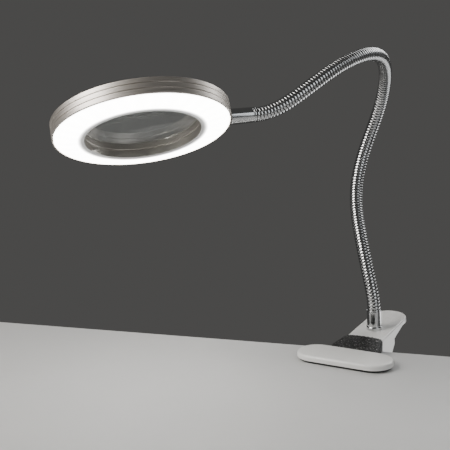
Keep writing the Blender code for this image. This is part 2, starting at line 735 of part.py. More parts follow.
def outer_bezel(parent):
    """Brushed outer wall with two fine grooves that part it into three bands."""
    r, inner = RING_RADIUS, RING_RADIUS - RING_WALL
    profile = [(inner, 0.0), (r - 0.4, 0.0), (r, 0.4)]
    for z in GROOVES:
        profile += [(r, z - GROOVE_HALF), (r - GROOVE_DEPTH, z), (r, z + GROOVE_HALF)]
    profile += [(r, RING_HEIGHT - 0.4), (r - 0.4, RING_HEIGHT), (inner, RING_HEIGHT)]
    made = lathe("outer_bezel", profile, RING_SIDES, HEAD)
    cut(made, rod("stud_hole", 2.9, 66, 74, HEAD_NECK_AXIS))
    return finish(made, "brushed_nickel", parent)


def screw_places():
    places = []
    for k in range(4):
        a = math.radians(45 + 90 * k)
        spot = (SCREW_CIRCLE * math.cos(a), SCREW_CIRCLE * math.sin(a), 0)
        places.append(HEAD @ Matrix.Translation(spot))
    return places


def top_cover(parent):
    """Flat brushed ring on top; its inner lip holds the lens down."""
    outer = RING_RADIUS - RING_WALL - 0.4
    profile = [(45.4, 11.8), (outer, 11.8), (outer, 12.8), (outer - 0.2, RING_HEIGHT),
               (45.7, RING_HEIGHT), (45.4, 12.7)]
    made = lathe("top_cover", profile, RING_SIDES, HEAD)
    for place in screw_places():
        cut(made, rod("hole", 1.6, 11, 14, place, sides=12))
    return finish(made, "brushed_nickel", parent)


def ring_frame(parent):
    """Cast channel that holds the light board, with four screw bosses and a notch for the nut."""
    outer = RING_RADIUS - RING_WALL - 0.4
    profile = [(47.5, -0.6), (50.3, -0.6), (50.3, 8.0), (68.0, 8.0), (68.0, 2.2), (outer, 2.2),
               (outer, 9.2), (50.3, 9.2), (50.3, 11.5), (47.5, 11.5)]
    made = lathe("ring_frame", profile, INNER_SIDES, HEAD)
    for place in screw_places():
        unite(made, rod("boss", 3.4, 8.6, 11.5, place, sides=12))
        cut(made, rod("pilot", 1.55, 9.6, 12.5, place, sides=12))
    cut(made, block("notch", (65.8, -5.6, -2), (72, 5.6, 14), HEAD))
    return finish(made, "aluminium", parent)


def led_board(parent):
    """Light board with its ring of small light chips underneath."""
    made = lathe("led_board", tube_profile(52.5, 64.5, 6.4, 7.7), INNER_SIDES, HEAD)
    for k in range(LED_COUNT):
        turn = Matrix.Rotation(2 * math.pi * (k + 0.5) / LED_COUNT, 4, "Z")
        chip = block("chip", (LED_CIRCLE - 1.75, -1.4, 5.6), (LED_CIRCLE + 1.75, 1.4, 6.5), HEAD @ turn)
        unite(made, chip)
    cut(made, block("notch", (60.6, -2.4, 4), (68, 2.4, 10), HEAD))
    return finish(made, "board", parent)


def diffuser(parent):
    """Opal ring, slightly conical: its inner edge stands lower than its outer edge."""
    under = [(69.2, 0.1), (61.0, -1.6), (53.0, -2.7), (47.5, -3.3)]
    profile = under + [(r, z + 1.5) for r, z in reversed(under)]
    return finish(lathe("diffuser", profile, RING_SIDES, HEAD), "opal", parent)


def lens_profile():
    points = [(0.0, LENS_SEAT[0] - LENS_SAG)]
    for k in range(1, 5):
        r = LENS_RADIUS * k / 4
        points.append((r, LENS_SEAT[0] - LENS_SAG * (1 - (r / LENS_RADIUS) ** 2)))
    upper = [(r, sum(LENS_SEAT) - z) for r, z in reversed(points)]
    return points + upper


def ring_head(parent):
    outer_bezel(parent)
    top_cover(parent)
    ring_frame(parent)
    led_board(parent)
    diffuser(parent)
    sleeve = [(OPENING, -3.3), (OPENING + 0.3, -3.6), (SLEEVE_OUTER, -3.6), (SLEEVE_OUTER, 3.5),
              (OPENING + 0.3, 3.5), (OPENING, 3.2)]
    finish(lathe("inner_sleeve", sleeve, RING_SIDES, HEAD), "brushed_nickel", parent)
    ring = [(OPENING, 4.1), (OPENING + 0.3, 3.8), (SLEEVE_OUTER, 3.8), (SLEEVE_OUTER, 8.7),
            (OPENING, 8.7)]
    finish(lathe("lens_retaining_ring", ring, RING_SIDES, HEAD), "brushed_nickel", parent)
    finish(lathe("lens", lens_profile(), RING_SIDES, HEAD), "glass", parent)
    for number, place in enumerate(screw_places(), 1):
        at = place @ Matrix.Translation((0, 0, RING_HEIGHT + GAP))
        piece = lathe(f"cover_screw_{number}", screw_profile(2.1, 1.1, 1.25, 3.4), 14, at)
        finish(piece, "steel", parent)
    near, far = HEAD_FERRULE
    ferrule = [
        (LEAD_BORE, near - 5.3), (2.5, near - 5.3), (2.5, near), (6.3, near), (6.6, near + 0.4),
        (6.3, far - 2.6), (5.9, far - 2.2), (5.9, far - 1.8), (6.2, far - 1.4), (6.2, far - 0.3),
        (5.9, far), (2.9, far), (2.9, far + 3.0), (LEAD_BORE, far + 3.0),
    ]
    finish(lathe("head_ferrule", ferrule, 24, HEAD_NECK_AXIS), "chrome", parent)
    finish(nut("head_nut", 8.0, 66.6, 69.1, 2.8, HEAD_NECK_AXIS @ QUARTER), "steel", parent)


# ---- gooseneck pieces -----------------------------------------------------------------------
def hinge_stations(length):
    return [length * k / NECK_SEGMENTS for k in range(1, NECK_SEGMENTS)]


def neck_route():
    """The centreline from the ferrule's top to the head's ferrule."""
    start = np.array(NECK_FOOT.to_3x3() @ Vector((0, 0, 1)))
    end = -np.array(HEAD_RADIAL)
    return neck_path(start, end)


def gooseneck(path, bodies):
    """Hollow segments that meet ball in socket at the bending points."""
    length = path[0][-1]
    stops = [-NECK_IN_FERRULE] + hinge_stations(length) + [length]
    for k in range(NECK_SEGMENTS):
        ball = k < NECK_SEGMENTS - 1
        rings = neck_rings(path, stops[k], stops[k + 1], ball, socket=k > 0)
        finish(closed_tube(f"neck_{k + 1}", rings), "chrome", bodies[k])


def neck_lead(path, parent):
    """The lamp's inner lead, whole, from the gland through the neck to the light board."""
    foot = NECK_FOOT
    points = [foot @ Vector((0, 0, h)) for h in (-16.0, -8.0, 0.0, 8.0)]
    length = path[0][-1]
    count = round(length / 10.0)
    points += [Vector(path_at(path, length * k / count)[0]) for k in range(count)]
    points += [HEAD_NECK_AXIS @ Vector((0, 0, x)) for x in (92.5, 84.0, 74.0, 61.2)]
    return finish(wire("neck_lead", points, LEAD_RADIUS, 1), "lead", parent)


def main():
    clear_scene()
    path = neck_route()
    upper = body_empty("upper_arm", (0, 0, 0))
    lower = body_empty("lower_arm", (0, *PIVOT), upper)
    bodies = [upper]
    for number, station in enumerate(hinge_stations(path[0][-1]), 2):
        point = path_at(path, station)[0]
        bodies.append(body_empty(f"neck_body_{number}", point, bodies[-1]))
    clip(upper, lower)
    neck_foot(upper)
    gooseneck(path, bodies)
    neck_lead(path, upper)
    ring_head(bodies[-1])


main()
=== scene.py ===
"""Looks of the clip-on ring magnifier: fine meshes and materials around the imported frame.

Sizes below are millimetres in the part's own frame: origin under the upper jaw, +X along the jaw
bar, +Y back towards the handles, +Z up. Meshes are made in millimetres and finished in metres.
"""

import json
import math

import bmesh
import bpy
import numpy as np
from mathutils import Euler, Matrix, Vector, noise


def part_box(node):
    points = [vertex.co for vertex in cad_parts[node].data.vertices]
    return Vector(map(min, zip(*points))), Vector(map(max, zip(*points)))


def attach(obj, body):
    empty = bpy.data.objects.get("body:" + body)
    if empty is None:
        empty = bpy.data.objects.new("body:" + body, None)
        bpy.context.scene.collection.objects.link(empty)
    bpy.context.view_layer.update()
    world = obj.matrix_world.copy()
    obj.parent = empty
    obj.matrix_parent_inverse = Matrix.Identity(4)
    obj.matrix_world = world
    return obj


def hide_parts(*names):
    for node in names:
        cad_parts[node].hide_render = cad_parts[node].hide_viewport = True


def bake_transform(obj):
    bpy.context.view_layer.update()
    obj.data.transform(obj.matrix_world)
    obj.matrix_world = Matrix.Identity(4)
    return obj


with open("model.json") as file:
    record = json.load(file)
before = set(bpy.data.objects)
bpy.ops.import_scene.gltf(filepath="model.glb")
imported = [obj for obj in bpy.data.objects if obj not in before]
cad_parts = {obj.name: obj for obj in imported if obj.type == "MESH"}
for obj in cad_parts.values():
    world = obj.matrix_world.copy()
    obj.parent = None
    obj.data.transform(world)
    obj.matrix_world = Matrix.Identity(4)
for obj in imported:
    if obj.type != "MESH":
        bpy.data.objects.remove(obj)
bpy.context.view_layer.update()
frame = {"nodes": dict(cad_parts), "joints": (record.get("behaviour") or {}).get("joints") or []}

MM = 0.001
RIGHT_ANGLE = math.pi / 2
GAP = 0.3                      # left between separate parts


def node_box(node):
    """The lowest and highest corner of a CAD node, in millimetres."""
    return [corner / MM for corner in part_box(node)]


# ---- places that the frame gives ----
JOINTS = {joint["name"]: joint for joint in frame["joints"]}
PIVOT = tuple(value / MM for value in JOINTS["jaw_hinge"]["pos_m"][1:])
JAW_LOW, JAW_HIGH = node_box("upper_jaw_cover")
JAW_LENGTH, JAW_WIDTH = (JAW_HIGH - JAW_LOW)[:2]
JAW_TOP = JAW_HIGH.z
COVER_BOTTOM = JAW_LOW.z
PAD_THICKNESS = node_box("upper_jaw_pad")[1].z
BOARD = -node_box("lower_jaw_pad")[1].z

# ---- clip ----
JAW_CROWN = 0.25
JAW_EDGE = 2.0
JAW_WALL = 2.0
JAW_ROOF = 5.2
PAD_INSET = 1.9
PAD_GROOVE = 0.45
PAD_GROOVE_PITCH = 3.0
PLATE_BOTTOM = 2.5
PLATE_TOP = 4.9
PLATE_INSET = 2.8
JAW_SCREW_X = 27.0
JAW_SCREW = (2.2, 1.0, 1.2, 3.0)     # a screw: head radius and height, shaft radius and length
ROOT_HALF = 16.0                     # the plate's neck, where it leaves the bar
CORE_HALF = 15.0
CORE_TOP = 6.0

BLOCK_FRONT = 18.3
BLOCK_REAR = 44.3
LOWER_BLOCK_REAR = 40.0
BLOCK_HALF_FRONT = 23.4
BLOCK_HALF_REAR = 17.3
BLOCK_BOTTOM = 0.5
BLOCK_TOP_FRONT = 6.2
BLOCK_TOP_REAR = 10.3
BLOCK_CROWN = 1.0
BLOCK_CORNER = 2.8
BLOCK_EDGE = 0.8
BLOCK_EDGE_STEPS = 3
GRAIN_STEP = 0.42
GRAIN_HEIGHT = 0.42

LEVER_PITCH = math.radians(5.0)
LEVER_FRONT = (44.6, 9.4)
LEVER_LENGTH = 74.6
LEVER_HALF = 16.8
LEVER_WALL = 2.2
LEVER_EDGE = 1.2
TONGUE_HALF = 13.9
TONGUE_TOP = -2.6
TONGUE_BOTTOM = -5.6
TONGUE_LENGTH = 60.0
EAR_INNER = 10.6
EAR_RADIUS = 8.0
COVER_EAR_RADIUS = 8.6
SCREW_TURN = 0.4
LEVER_SCREW = (2.6, 1.3, 1.2, 4.3)
LEVER_SCREW_HOLE = 1.6
LEVER_SCREW_AT = 54.0
PIN_RADIUS = 2.0
PIN_HALF = 14.2
PIN_HOLE = 2.35
LOWER_PITCH = math.radians(-30.0)
LOWER_REACH = 62.0
LOWER_START = 20.0
LOWER_PLATE_INNER = 7.6
LOWER_PLATE_OUTER = 10.3
LOWER_DISC = 7.0
LOWER_TONGUE_TOP = -5.9
LOWER_TONGUE_BOTTOM = -8.5
LOWER_SKIN = -11.2
LOWER_SCREWS = (30.0, 48.0)
WIRE_RADIUS = 0.9
COIL_RADIUS = 4.6
COIL_HALF = 6.35
COIL_TURNS = 5 + 100 / 360     # its two legs leave 100 degrees apart
COIL_START = 240.0
COIL_STEPS = 36                # a turn

# ---- gooseneck ----
FOOT_AT = 23.3
FERRULE_HEIGHT = 18.0
FERRULE_RADIUS = 6.55
FLANGE_RADIUS = 7.2
NECK_RADIUS = 6.0
NECK_IN_FERRULE = 12.6
NECK_SEGMENTS = 9
NECK_SIDES = 40
RIB_PITCH = 2.8
RIB_STEPS = 10
RIB_DEPTH = 0.6
RIB_SQUARENESS = 2.3
GROOVE_LAYER = "groove_depth"  # a mesh layer: 0 on a rib's crown and 1 at the groove's floor
STUD_RADIUS = 2.9
STUD_HOLE = 3.3
WASHER_RADIUS = 5.1
WASHER_HEIGHT = 1.0
BASE_NUT_FLATS = 10.0
BASE_NUT_HEIGHT = 3.0
STUD_BOTTOM = -13.5
LEAD_RADIUS = 1.5
LEAD_BORE = 1.8
ROUTE = (
    (0.0, 66.2, 30.0), (-8.0, 71.5, 62.0), (-24.0, 89.5, 97.0), (-37.5, 113.5, 132.0),
    (-36.5, 130.5, 168.0), (-24.0, 134.0, 206.0), (-8.5, 110.5, 243.0), (-3.0, 70.0, 258.0),
    (-14.5, 20.5, 249.0), (-34.0, -15.0, 227.0), (-59.6, -42.5, 211.8),
)

# ---- ring head: local x runs to the gooseneck, local z up through the lens ----
HEAD_CENTRE = (-125.5, -106.9, 201.3)
HEAD_EULER = (-26.8, -3.25, 42.7)
RING_RADIUS = 71.0
RING_HEIGHT = 13.0
RING_WALL = 1.4
RING_SIDES = 288
GROOVES = (4.4, 8.8)
GROOVE_DEPTH = 0.6
GROOVE_HALF = 0.3
OPENING = 46.0
SLEEVE_OUTER = 47.2
SLEEVE_BOTTOM = -2.9
SEAM = (3.5, 3.8)              # between the sleeve and the lens's retaining ring
RETAINER_TOP = 8.7
COVER_UNDERSIDE = 11.8
NECK_LEVEL = 6.0
HEAD_FERRULE = (71.3, 92.2)    # its ends along the neck's axis
HEAD_STUD = 2.5
HEAD_NUT = (66.6, 69.1)
HEAD_NUT_FLATS = 8.0
COVER_SCREW = (2.1, 1.1, 1.25, 3.4)
SCREW_CIRCLE = 60.0
LENS_SAG = 3.3
LENS_RADIUS = 46.9
LENS_SEAT = (9.0, 11.4)
DIFFUSER_OUTER = 69.3
DIFFUSER_INNER = 47.6
DIFFUSER_DROP = 3.4            # from its outer edge down to its lip
DIFFUSER_WALL = 1.5
LED_COUNT = 32
LIT_FROM = 51.6                # radius where the diffuser is fully lit
RING_UV = "around"             # the UV map that brushed metal stretches its highlights by

# ---- table and camera ----
TABLE_EDGE = 38.4              # y of the board's far edge at x = 0
TABLE_SLOPE = 0.232
CAMERA_AT = (294.34, -681.67, 252.47)
CAMERA_YAW = math.radians(31.07)
CAMERA_PITCH = math.radians(10.13)
CAMERA_ROLL = math.radians(-1.18)
CAMERA_LENS = 72.07


# ---- lines of points ----
def distances(points):
    """How far along a line of points each of them lies."""
    return np.r_[0.0, np.cumsum(np.linalg.norm(np.diff(points, axis=0), axis=1))]


def between(at, along, rows):
    """The rows at the distances at, when along holds the distance of each row."""
    return np.column_stack([np.interp(at, along, column) for column in rows.T])


# ---- places ----
def shift(x, y, z):
    return Matrix.Translation((x, y, z))


def turned(angle, axis):
    return Matrix.Rotation(angle, 4, axis)


def lever_place(front, pitch):
    """A lever's frame: y along it to the rear, z up from its skin."""
    return shift(0, *front) @ turned(pitch, "X")


HERE = Matrix.Identity(4)
MIRROR = shift(0, 0, -BOARD) @ Matrix.Diagonal((1, 1, -1, 1))
UPPER_LEVER = lever_place(LEVER_FRONT, LEVER_PITCH)
LOWER_LEVER = lever_place(PIVOT, LOWER_PITCH)
NECK_FOOT = UPPER_LEVER @ shift(0, FOOT_AT, 0)
PIVOT_AXIS = shift(0, *PIVOT) @ turned(RIGHT_ANGLE, "Y")
QUARTER = turned(RIGHT_ANGLE, "Z")
HALF_TURN = turned(math.pi, "X")
HEAD_ANGLES = Euler([math.radians(angle) for angle in HEAD_EULER])
HEAD = Matrix.LocRotScale(Vector(HEAD_CENTRE), HEAD_ANGLES, None)
HEAD_NECK_AXIS = HEAD @ shift(0, 0, NECK_LEVEL) @ turned(RIGHT_ANGLE, "Y")
HEAD_RADIAL = HEAD.to_3x3() @ Vector((1, 0, 0))


# ---- objects ----
def link(name, data):
    made = bpy.data.objects.new(name, data)
    bpy.context.scene.collection.objects.link(made)
    return made


def from_bmesh(name, bm, matrix=HERE):
    """An object with outward faces from bm, moved by matrix, in millimetres."""
    bmesh.ops.remove_doubles(bm, verts=bm.verts, dist=1e-4)
    bmesh.ops.recalc_face_normals(bm, faces=bm.faces)
    bm.transform(matrix)
    if matrix.determinant() < 0:
        bmesh.ops.reverse_faces(bm, faces=bm.faces)
    mesh = bpy.data.meshes.new(name)
    bm.to_mesh(mesh)
    bm.free()
    return link(name, mesh)


def reshape(piece, kind, **settings):
    """The piece with one modifier's result as its own mesh."""
    modifier = piece.modifiers.new(kind.lower(), kind)
    for key, value in settings.items():
        setattr(modifier, key, value)
    graph = bpy.context.evaluated_depsgraph_get()
    mesh = bpy.data.meshes.new_from_object(piece.evaluated_get(graph))
    piece.modifiers.clear()
    piece.data = mesh


def soften(piece, width, segments=2):
    """Eases the piece's sharp edges, in millimetres, before it is dressed."""
    reshape(piece, "BEVEL", width=width, segments=segments, limit_method="ANGLE",
            angle_limit=math.radians(40.0))


def combine(operation, target, *others):
    for other in others:
        reshape(target, "BOOLEAN", operation=operation, object=other)
        bpy.data.objects.remove(other, do_unlink=True)


def cut(target, *cutters):
    combine("DIFFERENCE", target, *cutters)


def unite(target, *others):
    combine("UNION", target, *others)


def trim(target, *shapes):
    """Leaves only what the target shares with each shape."""
    combine("INTERSECT", target, *shapes)


def dress(piece, finish, body, *nodes, place=HERE, sharp=35.0, even=True):
    """Its place in metres, shading and material, the body it rides on and the CAD nodes it
    stands for. even weighs the shading by face area, which keeps large flat faces flat."""
    material, slot = finish
    piece.data.transform(Matrix.Scale(MM, 4) @ place)
    if place.determinant() < 0:
        piece.data.flip_normals()
    piece.data.materials.clear()
    piece.data.materials.append(material)
    piece.data.shade_smooth()
    piece.data.set_sharp_from_angle(angle=math.radians(sharp))
    if even:
        weighted = piece.modifiers.new("even", "WEIGHTED_NORMAL")
        weighted.keep_sharp = True
    if body is not None:
        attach(piece, body)
    if nodes:
        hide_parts(*nodes)


# ---- shapes ----
def arc(centre, radius, start, end, steps):
    points = []
    for k in range(steps + 1):
        a = math.radians(start + (end - start) * k / steps)
        points.append((centre[0] + radius * math.cos(a), centre[1] + radius * math.sin(a)))
    return points


def eased(points, radius, closed=True, steps=3):
    """An outline with each corner turned by a short curve of about that radius."""
    made = []
    count = len(points)
    for i, corner in enumerate(points):
        if not closed and i in (0, count - 1):
            made.append(tuple(corner))
            continue
        here = Vector(corner)
        back = Vector(points[i - 1]) - here
        ahead = Vector(points[(i + 1) % count]) - here
        a = here + back.normalized() * min(radius, back.length * 0.45)
        b = here + ahead.normalized() * min(radius, ahead.length * 0.45)
        for k in range(steps + 1):
            t = k / steps
            made.append(tuple(a * (1 - t) ** 2 + here * 2 * t * (1 - t) + b * t * t))
    return made


def lathe(name, profile, sides=96, matrix=HERE):
    """A profile of (radius, height) points turned about local z."""
    bm = bmesh.new()
    verts = [bm.verts.new((r, 0.0, z)) for r, z in profile]
    pairs = list(zip(verts, verts[1:]))
    if min(r for r, _ in profile) > 0.0:
        pairs.append((verts[-1], verts[0]))
    edges = [bm.edges.new(pair) for pair in pairs]
    bmesh.ops.spin(bm, geom=verts + edges, cent=(0, 0, 0), axis=(0, 0, 1), dvec=(0, 0, 0),
                   angle=2 * math.pi, steps=sides, use_merge=True, use_duplicate=False)
    return from_bmesh(name, bm, matrix)


def wrap_uv(piece):
    """A UV map with u round the piece's own z axis."""
    layer = piece.data.uv_layers.new(name=RING_UV)
    verts = piece.data.vertices
    for face in piece.data.polygons:
        turns = [math.atan2(verts[i].co.y, verts[i].co.x) / (2 * math.pi) for i in face.vertices]
        for loop, vertex, turn in zip(face.loop_indices, face.vertices, turns):
            p = verts[vertex].co
            if max(turns) - turn > 0.5:
                turn += 1.0
            layer.data[loop].uv = (turn, (p.z + math.hypot(p.x, p.y)) / 100.0)


def rod(name, radius, low, high, matrix=HERE, sides=48):
    return lathe(name, [(0.0, low), (radius, low), (radius, high), (0.0, high)], sides, matrix)


def loft(name, rings, matrix=HERE):
    """A solid through rings of equal point counts, with flat ends."""
    bm = bmesh.new()
    made = [[bm.verts.new(p) for p in ring] for ring in rings]
    count = len(made[0])
    for low, high in zip(made, made[1:]):
        for i in range(count):
            j = (i + 1) % count
            bm.faces.new((low[i], low[j], high[j], high[i]))
    bm.faces.new(made[0])
    bm.faces.new(made[-1])
    return from_bmesh(name, bm, matrix)


def prism(name, outline, low, high, matrix=HERE):
    return loft(name, [[(x, y, z) for x, y in outline] for z in (low, high)], matrix)


def block(name, low, high, matrix=HERE):
    (x0, y0, z0), (x1, y1, z1) = low, high
    return prism(name, [(x0, y0), (x1, y0), (x1, y1), (x0, y1)], z0, z1, matrix)


def side_prism(name, outline, low, high, matrix=HERE):
    return loft(name, [[(x, y, z) for y, z in outline] for x in (low, high)], matrix)


def stadium(length, width, inset=0.0, steps=32):
    """A bar with round ends, centred on the origin, long in x."""
    radius = width / 2 - inset
    middle = length / 2 - width / 2
    points = []
    for side, start in ((1, -90), (-1, 90)):
        for x, y in arc((0, 0), radius, start, start + 180, steps):
            points.append((side * middle + x, y))
    return points


def tongue_outline(half, start, end, inset=0.0, steps=40):
    """A strip along y from start, with a round rear end at end."""
    radius = half - inset
    return [(-radius, start), (radius, start)] + arc((0, end - half), radius, 0, 180, steps)


def stacked(outline, low, high, radius, foot=0.0, steps=7):
    """Rings of a prism with a rounded top edge and, with foot, an eased bottom edge."""
    rings = []
    if foot:
        rings += [(foot, low), (foot * 0.3, low + foot * 0.3)]
    rings.append((0.0, low + foot))
    for k in range(steps + 1):
        a = RIGHT_ANGLE * k / steps
        rings.append((radius * (1 - math.cos(a)), high - radius * (1 - math.sin(a))))
    return [[(x, y, z) for x, y in outline(inset)] for inset, z in rings]


def tube(name, points, radius, sides=12):
    """A round solid along points, with flat ends."""
    points = [Vector(p) for p in points]
    tangents = []
    for i in range(len(points)):
        before, after = points[max(i - 1, 0)], points[min(i + 1, len(points) - 1)]
        tangents.append((after - before).normalized())
    side = tangents[0].orthogonal().normalized()
    rings = []
    for point, tangent in zip(points, tangents):
        side = (side - tangent * side.dot(tangent)).normalized()
        other = tangent.cross(side)
        ring = [point + side * x + other * y for x, y in arc((0, 0), radius, 0, 360, sides)[:-1]]
        rings.append(ring)
    return loft(name, rings)


# ---- material tools ----
def socket_named(key):
    """The shader's input for a keyword such as base_color."""
    return "IOR" if key == "ior" else key.replace("_", " ").title()


class Surface:
    """A material being made, with the nodes that work out its colour, gloss and relief."""

    def __init__(self, name, **sockets):
        """sockets are plain values for the shader's own inputs."""
        self.material = bpy.data.materials.new(name)
        self.material.use_nodes = True
        self.tree = self.material.node_tree
        self.shader = self.tree.nodes["Principled BSDF"]
        for key, value in sockets.items():
            self.shader.inputs[socket_named(key)].default_value = value
        self.where = self.node("ShaderNodeTexCoord").outputs["Object"]

    def node(self, kind, inputs=None, **properties):
        """A node; inputs maps its sockets to values or to other nodes' outputs."""
        made = self.tree.nodes.new(kind)
        for key, value in properties.items():
            setattr(made, key, value)
        for key, value in (inputs or {}).items():
            if isinstance(value, bpy.types.NodeSocket):
                self.tree.links.new(value, made.inputs[key])
            else:
                made.inputs[key].default_value = value
        return made

    def noise(self, scale, detail=4.0, roughness=0.55, distortion=0.0, where=None):
        inputs = {"Vector": self.where if where is None else where, "Scale": scale,
                  "Detail": detail, "Roughness": roughness, "Distortion": distortion}
        return self.node("ShaderNodeTexNoise", inputs).outputs["Fac"]

    def cells(self, scale):
        inputs = {"Vector": self.where, "Scale": scale}
        return self.node("ShaderNodeTexVoronoi", inputs, feature="F1").outputs["Distance"]

    def remap(self, value, low, high, start=0.3, end=0.7):
        inputs = {"Value": value, "From Min": start, "From Max": end, "To Min": low, "To Max": high}
        return self.node("ShaderNodeMapRange", inputs).outputs["Result"]

    def blend(self, factor, first, second):
        """One colour fading into another; each is a triple or an output."""
        first, second = ((*c, 1.0) if isinstance(c, tuple) else c for c in (first, second))
        inputs = {0: factor, 6: first, 7: second}
        return self.node("ShaderNodeMix", inputs, data_type="RGBA").outputs[2]

    def maths(self, operation, first, second=0.0):
        return self.node("ShaderNodeMath", {0: first, 1: second}, operation=operation).outputs[0]

    def times(self, first, second):
        return self.maths("MULTIPLY", first, second)

    def plus(self, first, second):
        return self.maths("ADD", first, second)

    def vector(self, operation, inputs):
        return self.node("ShaderNodeVectorMath", inputs, operation=operation)

    def ring_point(self):
        """The point in the head's own coordinates, z being up the lens axis."""
        inputs = {"Vector": self.where, "Location": [c * MM for c in HEAD_CENTRE],
                  "Rotation": HEAD_ANGLES}
        return self.node("ShaderNodeMapping", inputs, vector_type="TEXTURE").outputs[0]

    def off_axis(self, point):
        """The part of a head point that lies across the lens axis, and its length."""
        flat = self.vector("MULTIPLY", {0: point, 1: (1.0, 1.0, 0.0)}).outputs[0]
        return flat, self.vector("LENGTH", {0: flat}).outputs["Value"]

    def ring_vector(self, around, across):
        """Coordinates for streaks round the lens axis: slow round it and quick across it."""
        point = self.ring_point()
        flat, radius = self.off_axis(point)
        height = self.node("ShaderNodeSeparateXYZ", {0: point}).outputs["Z"]
        fine = self.times(self.plus(height, radius), across)
        unit = self.vector("NORMALIZE", {0: flat}).outputs[0]
        slow = self.vector("SCALE", {0: unit, "Scale": around}).outputs[0]
        split = self.node("ShaderNodeSeparateXYZ", {0: slow})
        inputs = {"X": split.outputs["X"], "Y": split.outputs["Y"], "Z": fine}
        return self.node("ShaderNodeCombineXYZ", inputs).outputs[0]

    def finish(self, relief=None, **sockets):
        """The material, with outputs on the shader's inputs; relief is height, strength, depth."""
        if relief is not None:
            inputs = dict(zip(("Height", "Strength", "Distance"), relief))
            sockets["normal"] = self.node("ShaderNodeBump", inputs).outputs["Normal"]
        for key, value in sockets.items():
            self.tree.links.new(value, self.shader.inputs[socket_named(key)])
        return self.material


# ---- materials ----
def clouded(name, noises, colours, gloss, relief, **sockets):
    """A material whose colour, gloss and relief follow three noises, given by their settings."""
    made = Surface(name, **sockets)
    tint, sheen, grain = (made.noise(*settings) for settings in noises)
    return made.finish((grain, *relief), base_color=made.blend(tint, *colours),
                       roughness=made.remap(sheen, *gloss))


def white_plastic():
    """Satin moulded shell: faint mottling, fine orange peel and slightly rubbed edges."""
    made = Surface("white_shell_plastic", coat_weight=0.45, coat_roughness=0.12)
    plain = made.blend(made.noise(38.0), (0.84, 0.835, 0.81), (0.89, 0.885, 0.865))
    pointy = made.node("ShaderNodeNewGeometry").outputs["Pointiness"]
    edges = made.remap(pointy, 0.0, 1.0, 0.52, 0.6)
    worn = made.times(edges, made.remap(made.noise(260.0), 0.0, 0.5))
    colour = made.blend(worn, plain, (0.93, 0.925, 0.905))
    scuffs = made.remap(made.noise(120.0, 8.0, 0.7), 0.28, 0.42)
    peel = made.noise(1500.0, 2.0)
    return made.finish((peel, 0.12, 0.00012), base_color=colour, roughness=scuffs)


def grained_plastic():
    """Black nylon from a spark-eroded mould: dark pits between small peaks, with painted glints as
    light grey specks on the peaks.
    """
    made = Surface("black_grained_plastic")
    pits = made.cells(620.0)
    coarse = made.noise(520.0, 3.0, 0.6)
    height = made.plus(made.times(pits, -0.7), coarse)
    height = made.plus(height, made.times(made.noise(3400.0, 2.0), 0.2))
    # Painted glints: light grey specks where the grain's peaks would catch the light.
    painted_glints = made.remap(made.noise(640.0, 1.0, 0.5), 0.0, 1.0, 0.6, 0.68)
    painted_glints = made.times(painted_glints, made.remap(pits, 1.0, 0.25, 0.1, 0.5))
    base = made.blend(made.remap(coarse, 0.0, 1.0), (0.003, 0.003, 0.0032), (0.011, 0.011, 0.0105))
    colour = made.blend(painted_glints, base, (0.42, 0.42, 0.41))
    gloss = made.remap(painted_glints, 0.52, 0.24, 0.0, 1.0)
    return made.finish((height, 0.9, 0.0004), base_color=colour, roughness=gloss)


def moulded_black():
    """Plain black nylon: the gland and the unseen mouldings."""
    return clouded("black_nylon", ((90.0,), (500.0,), (2200.0, 2.0)),
                   ((0.014, 0.014, 0.015), (0.026, 0.026, 0.026)), (0.42, 0.58), (0.25, 0.0001))


def rubber():
    """Matt jaw rubber with a dusty bloom."""
    made = Surface("jaw_rubber_sheet", sheen_weight=0.15, sheen_roughness=0.6)
    dust = made.remap(made.noise(160.0, 6.0, 0.7), 0.0, 0.6, 0.45, 0.75)
    colour = made.blend(dust, (0.012, 0.012, 0.012), (0.05, 0.048, 0.045))
    gloss = made.remap(dust, 0.7, 0.9, 0.0, 1.0)
    return made.finish((made.noise(2600.0, 3.0), 0.5, 0.00015), base_color=colour, roughness=gloss)


def chrome(name="bright_chrome", shaded_grooves=False):
    """Chrome plate with faint smudges; with the flag set, painted shade darkens the grooves of the
    wound tube, in patches.
    """
    made = Surface(name, metallic=1.0)
    smudge = made.noise(70.0, 5.0, 0.65)
    colour = made.blend(smudge, (0.53, 0.54, 0.55), (0.63, 0.635, 0.64))
    rough = made.remap(smudge, 0.07, 0.17)
    if shaded_grooves:
        # Painted shade: the wound tube's grooves darkened nearly to black, more in some patches than
        # others.
        depth = made.node("ShaderNodeAttribute", attribute_name=GROOVE_LAYER).outputs["Fac"]
        shade_patches = made.remap(made.noise(420.0, 5.0, 0.7), 0.7, 1.0)
        groove = made.times(made.remap(depth, 0.0, 1.0, 0.12, 0.6), shade_patches)
        colour = made.blend(groove, colour, (0.02, 0.019, 0.018))
        rough = made.plus(rough, made.times(groove, 0.35))
    return made.finish((made.noise(900.0, 3.0), 0.06, 0.00008), base_color=colour, roughness=rough)


def zinc_steel():
    """Bright zinc plate, slightly cloudy."""
    cloud = (220.0, 5.0, 0.6)
    return clouded("zinc_plated_steel", (cloud, cloud, (1800.0, 2.0)),
                   ((0.50, 0.50, 0.49), (0.66, 0.67, 0.68)), (0.2, 0.36), (0.12, 0.0001), metallic=1.0)


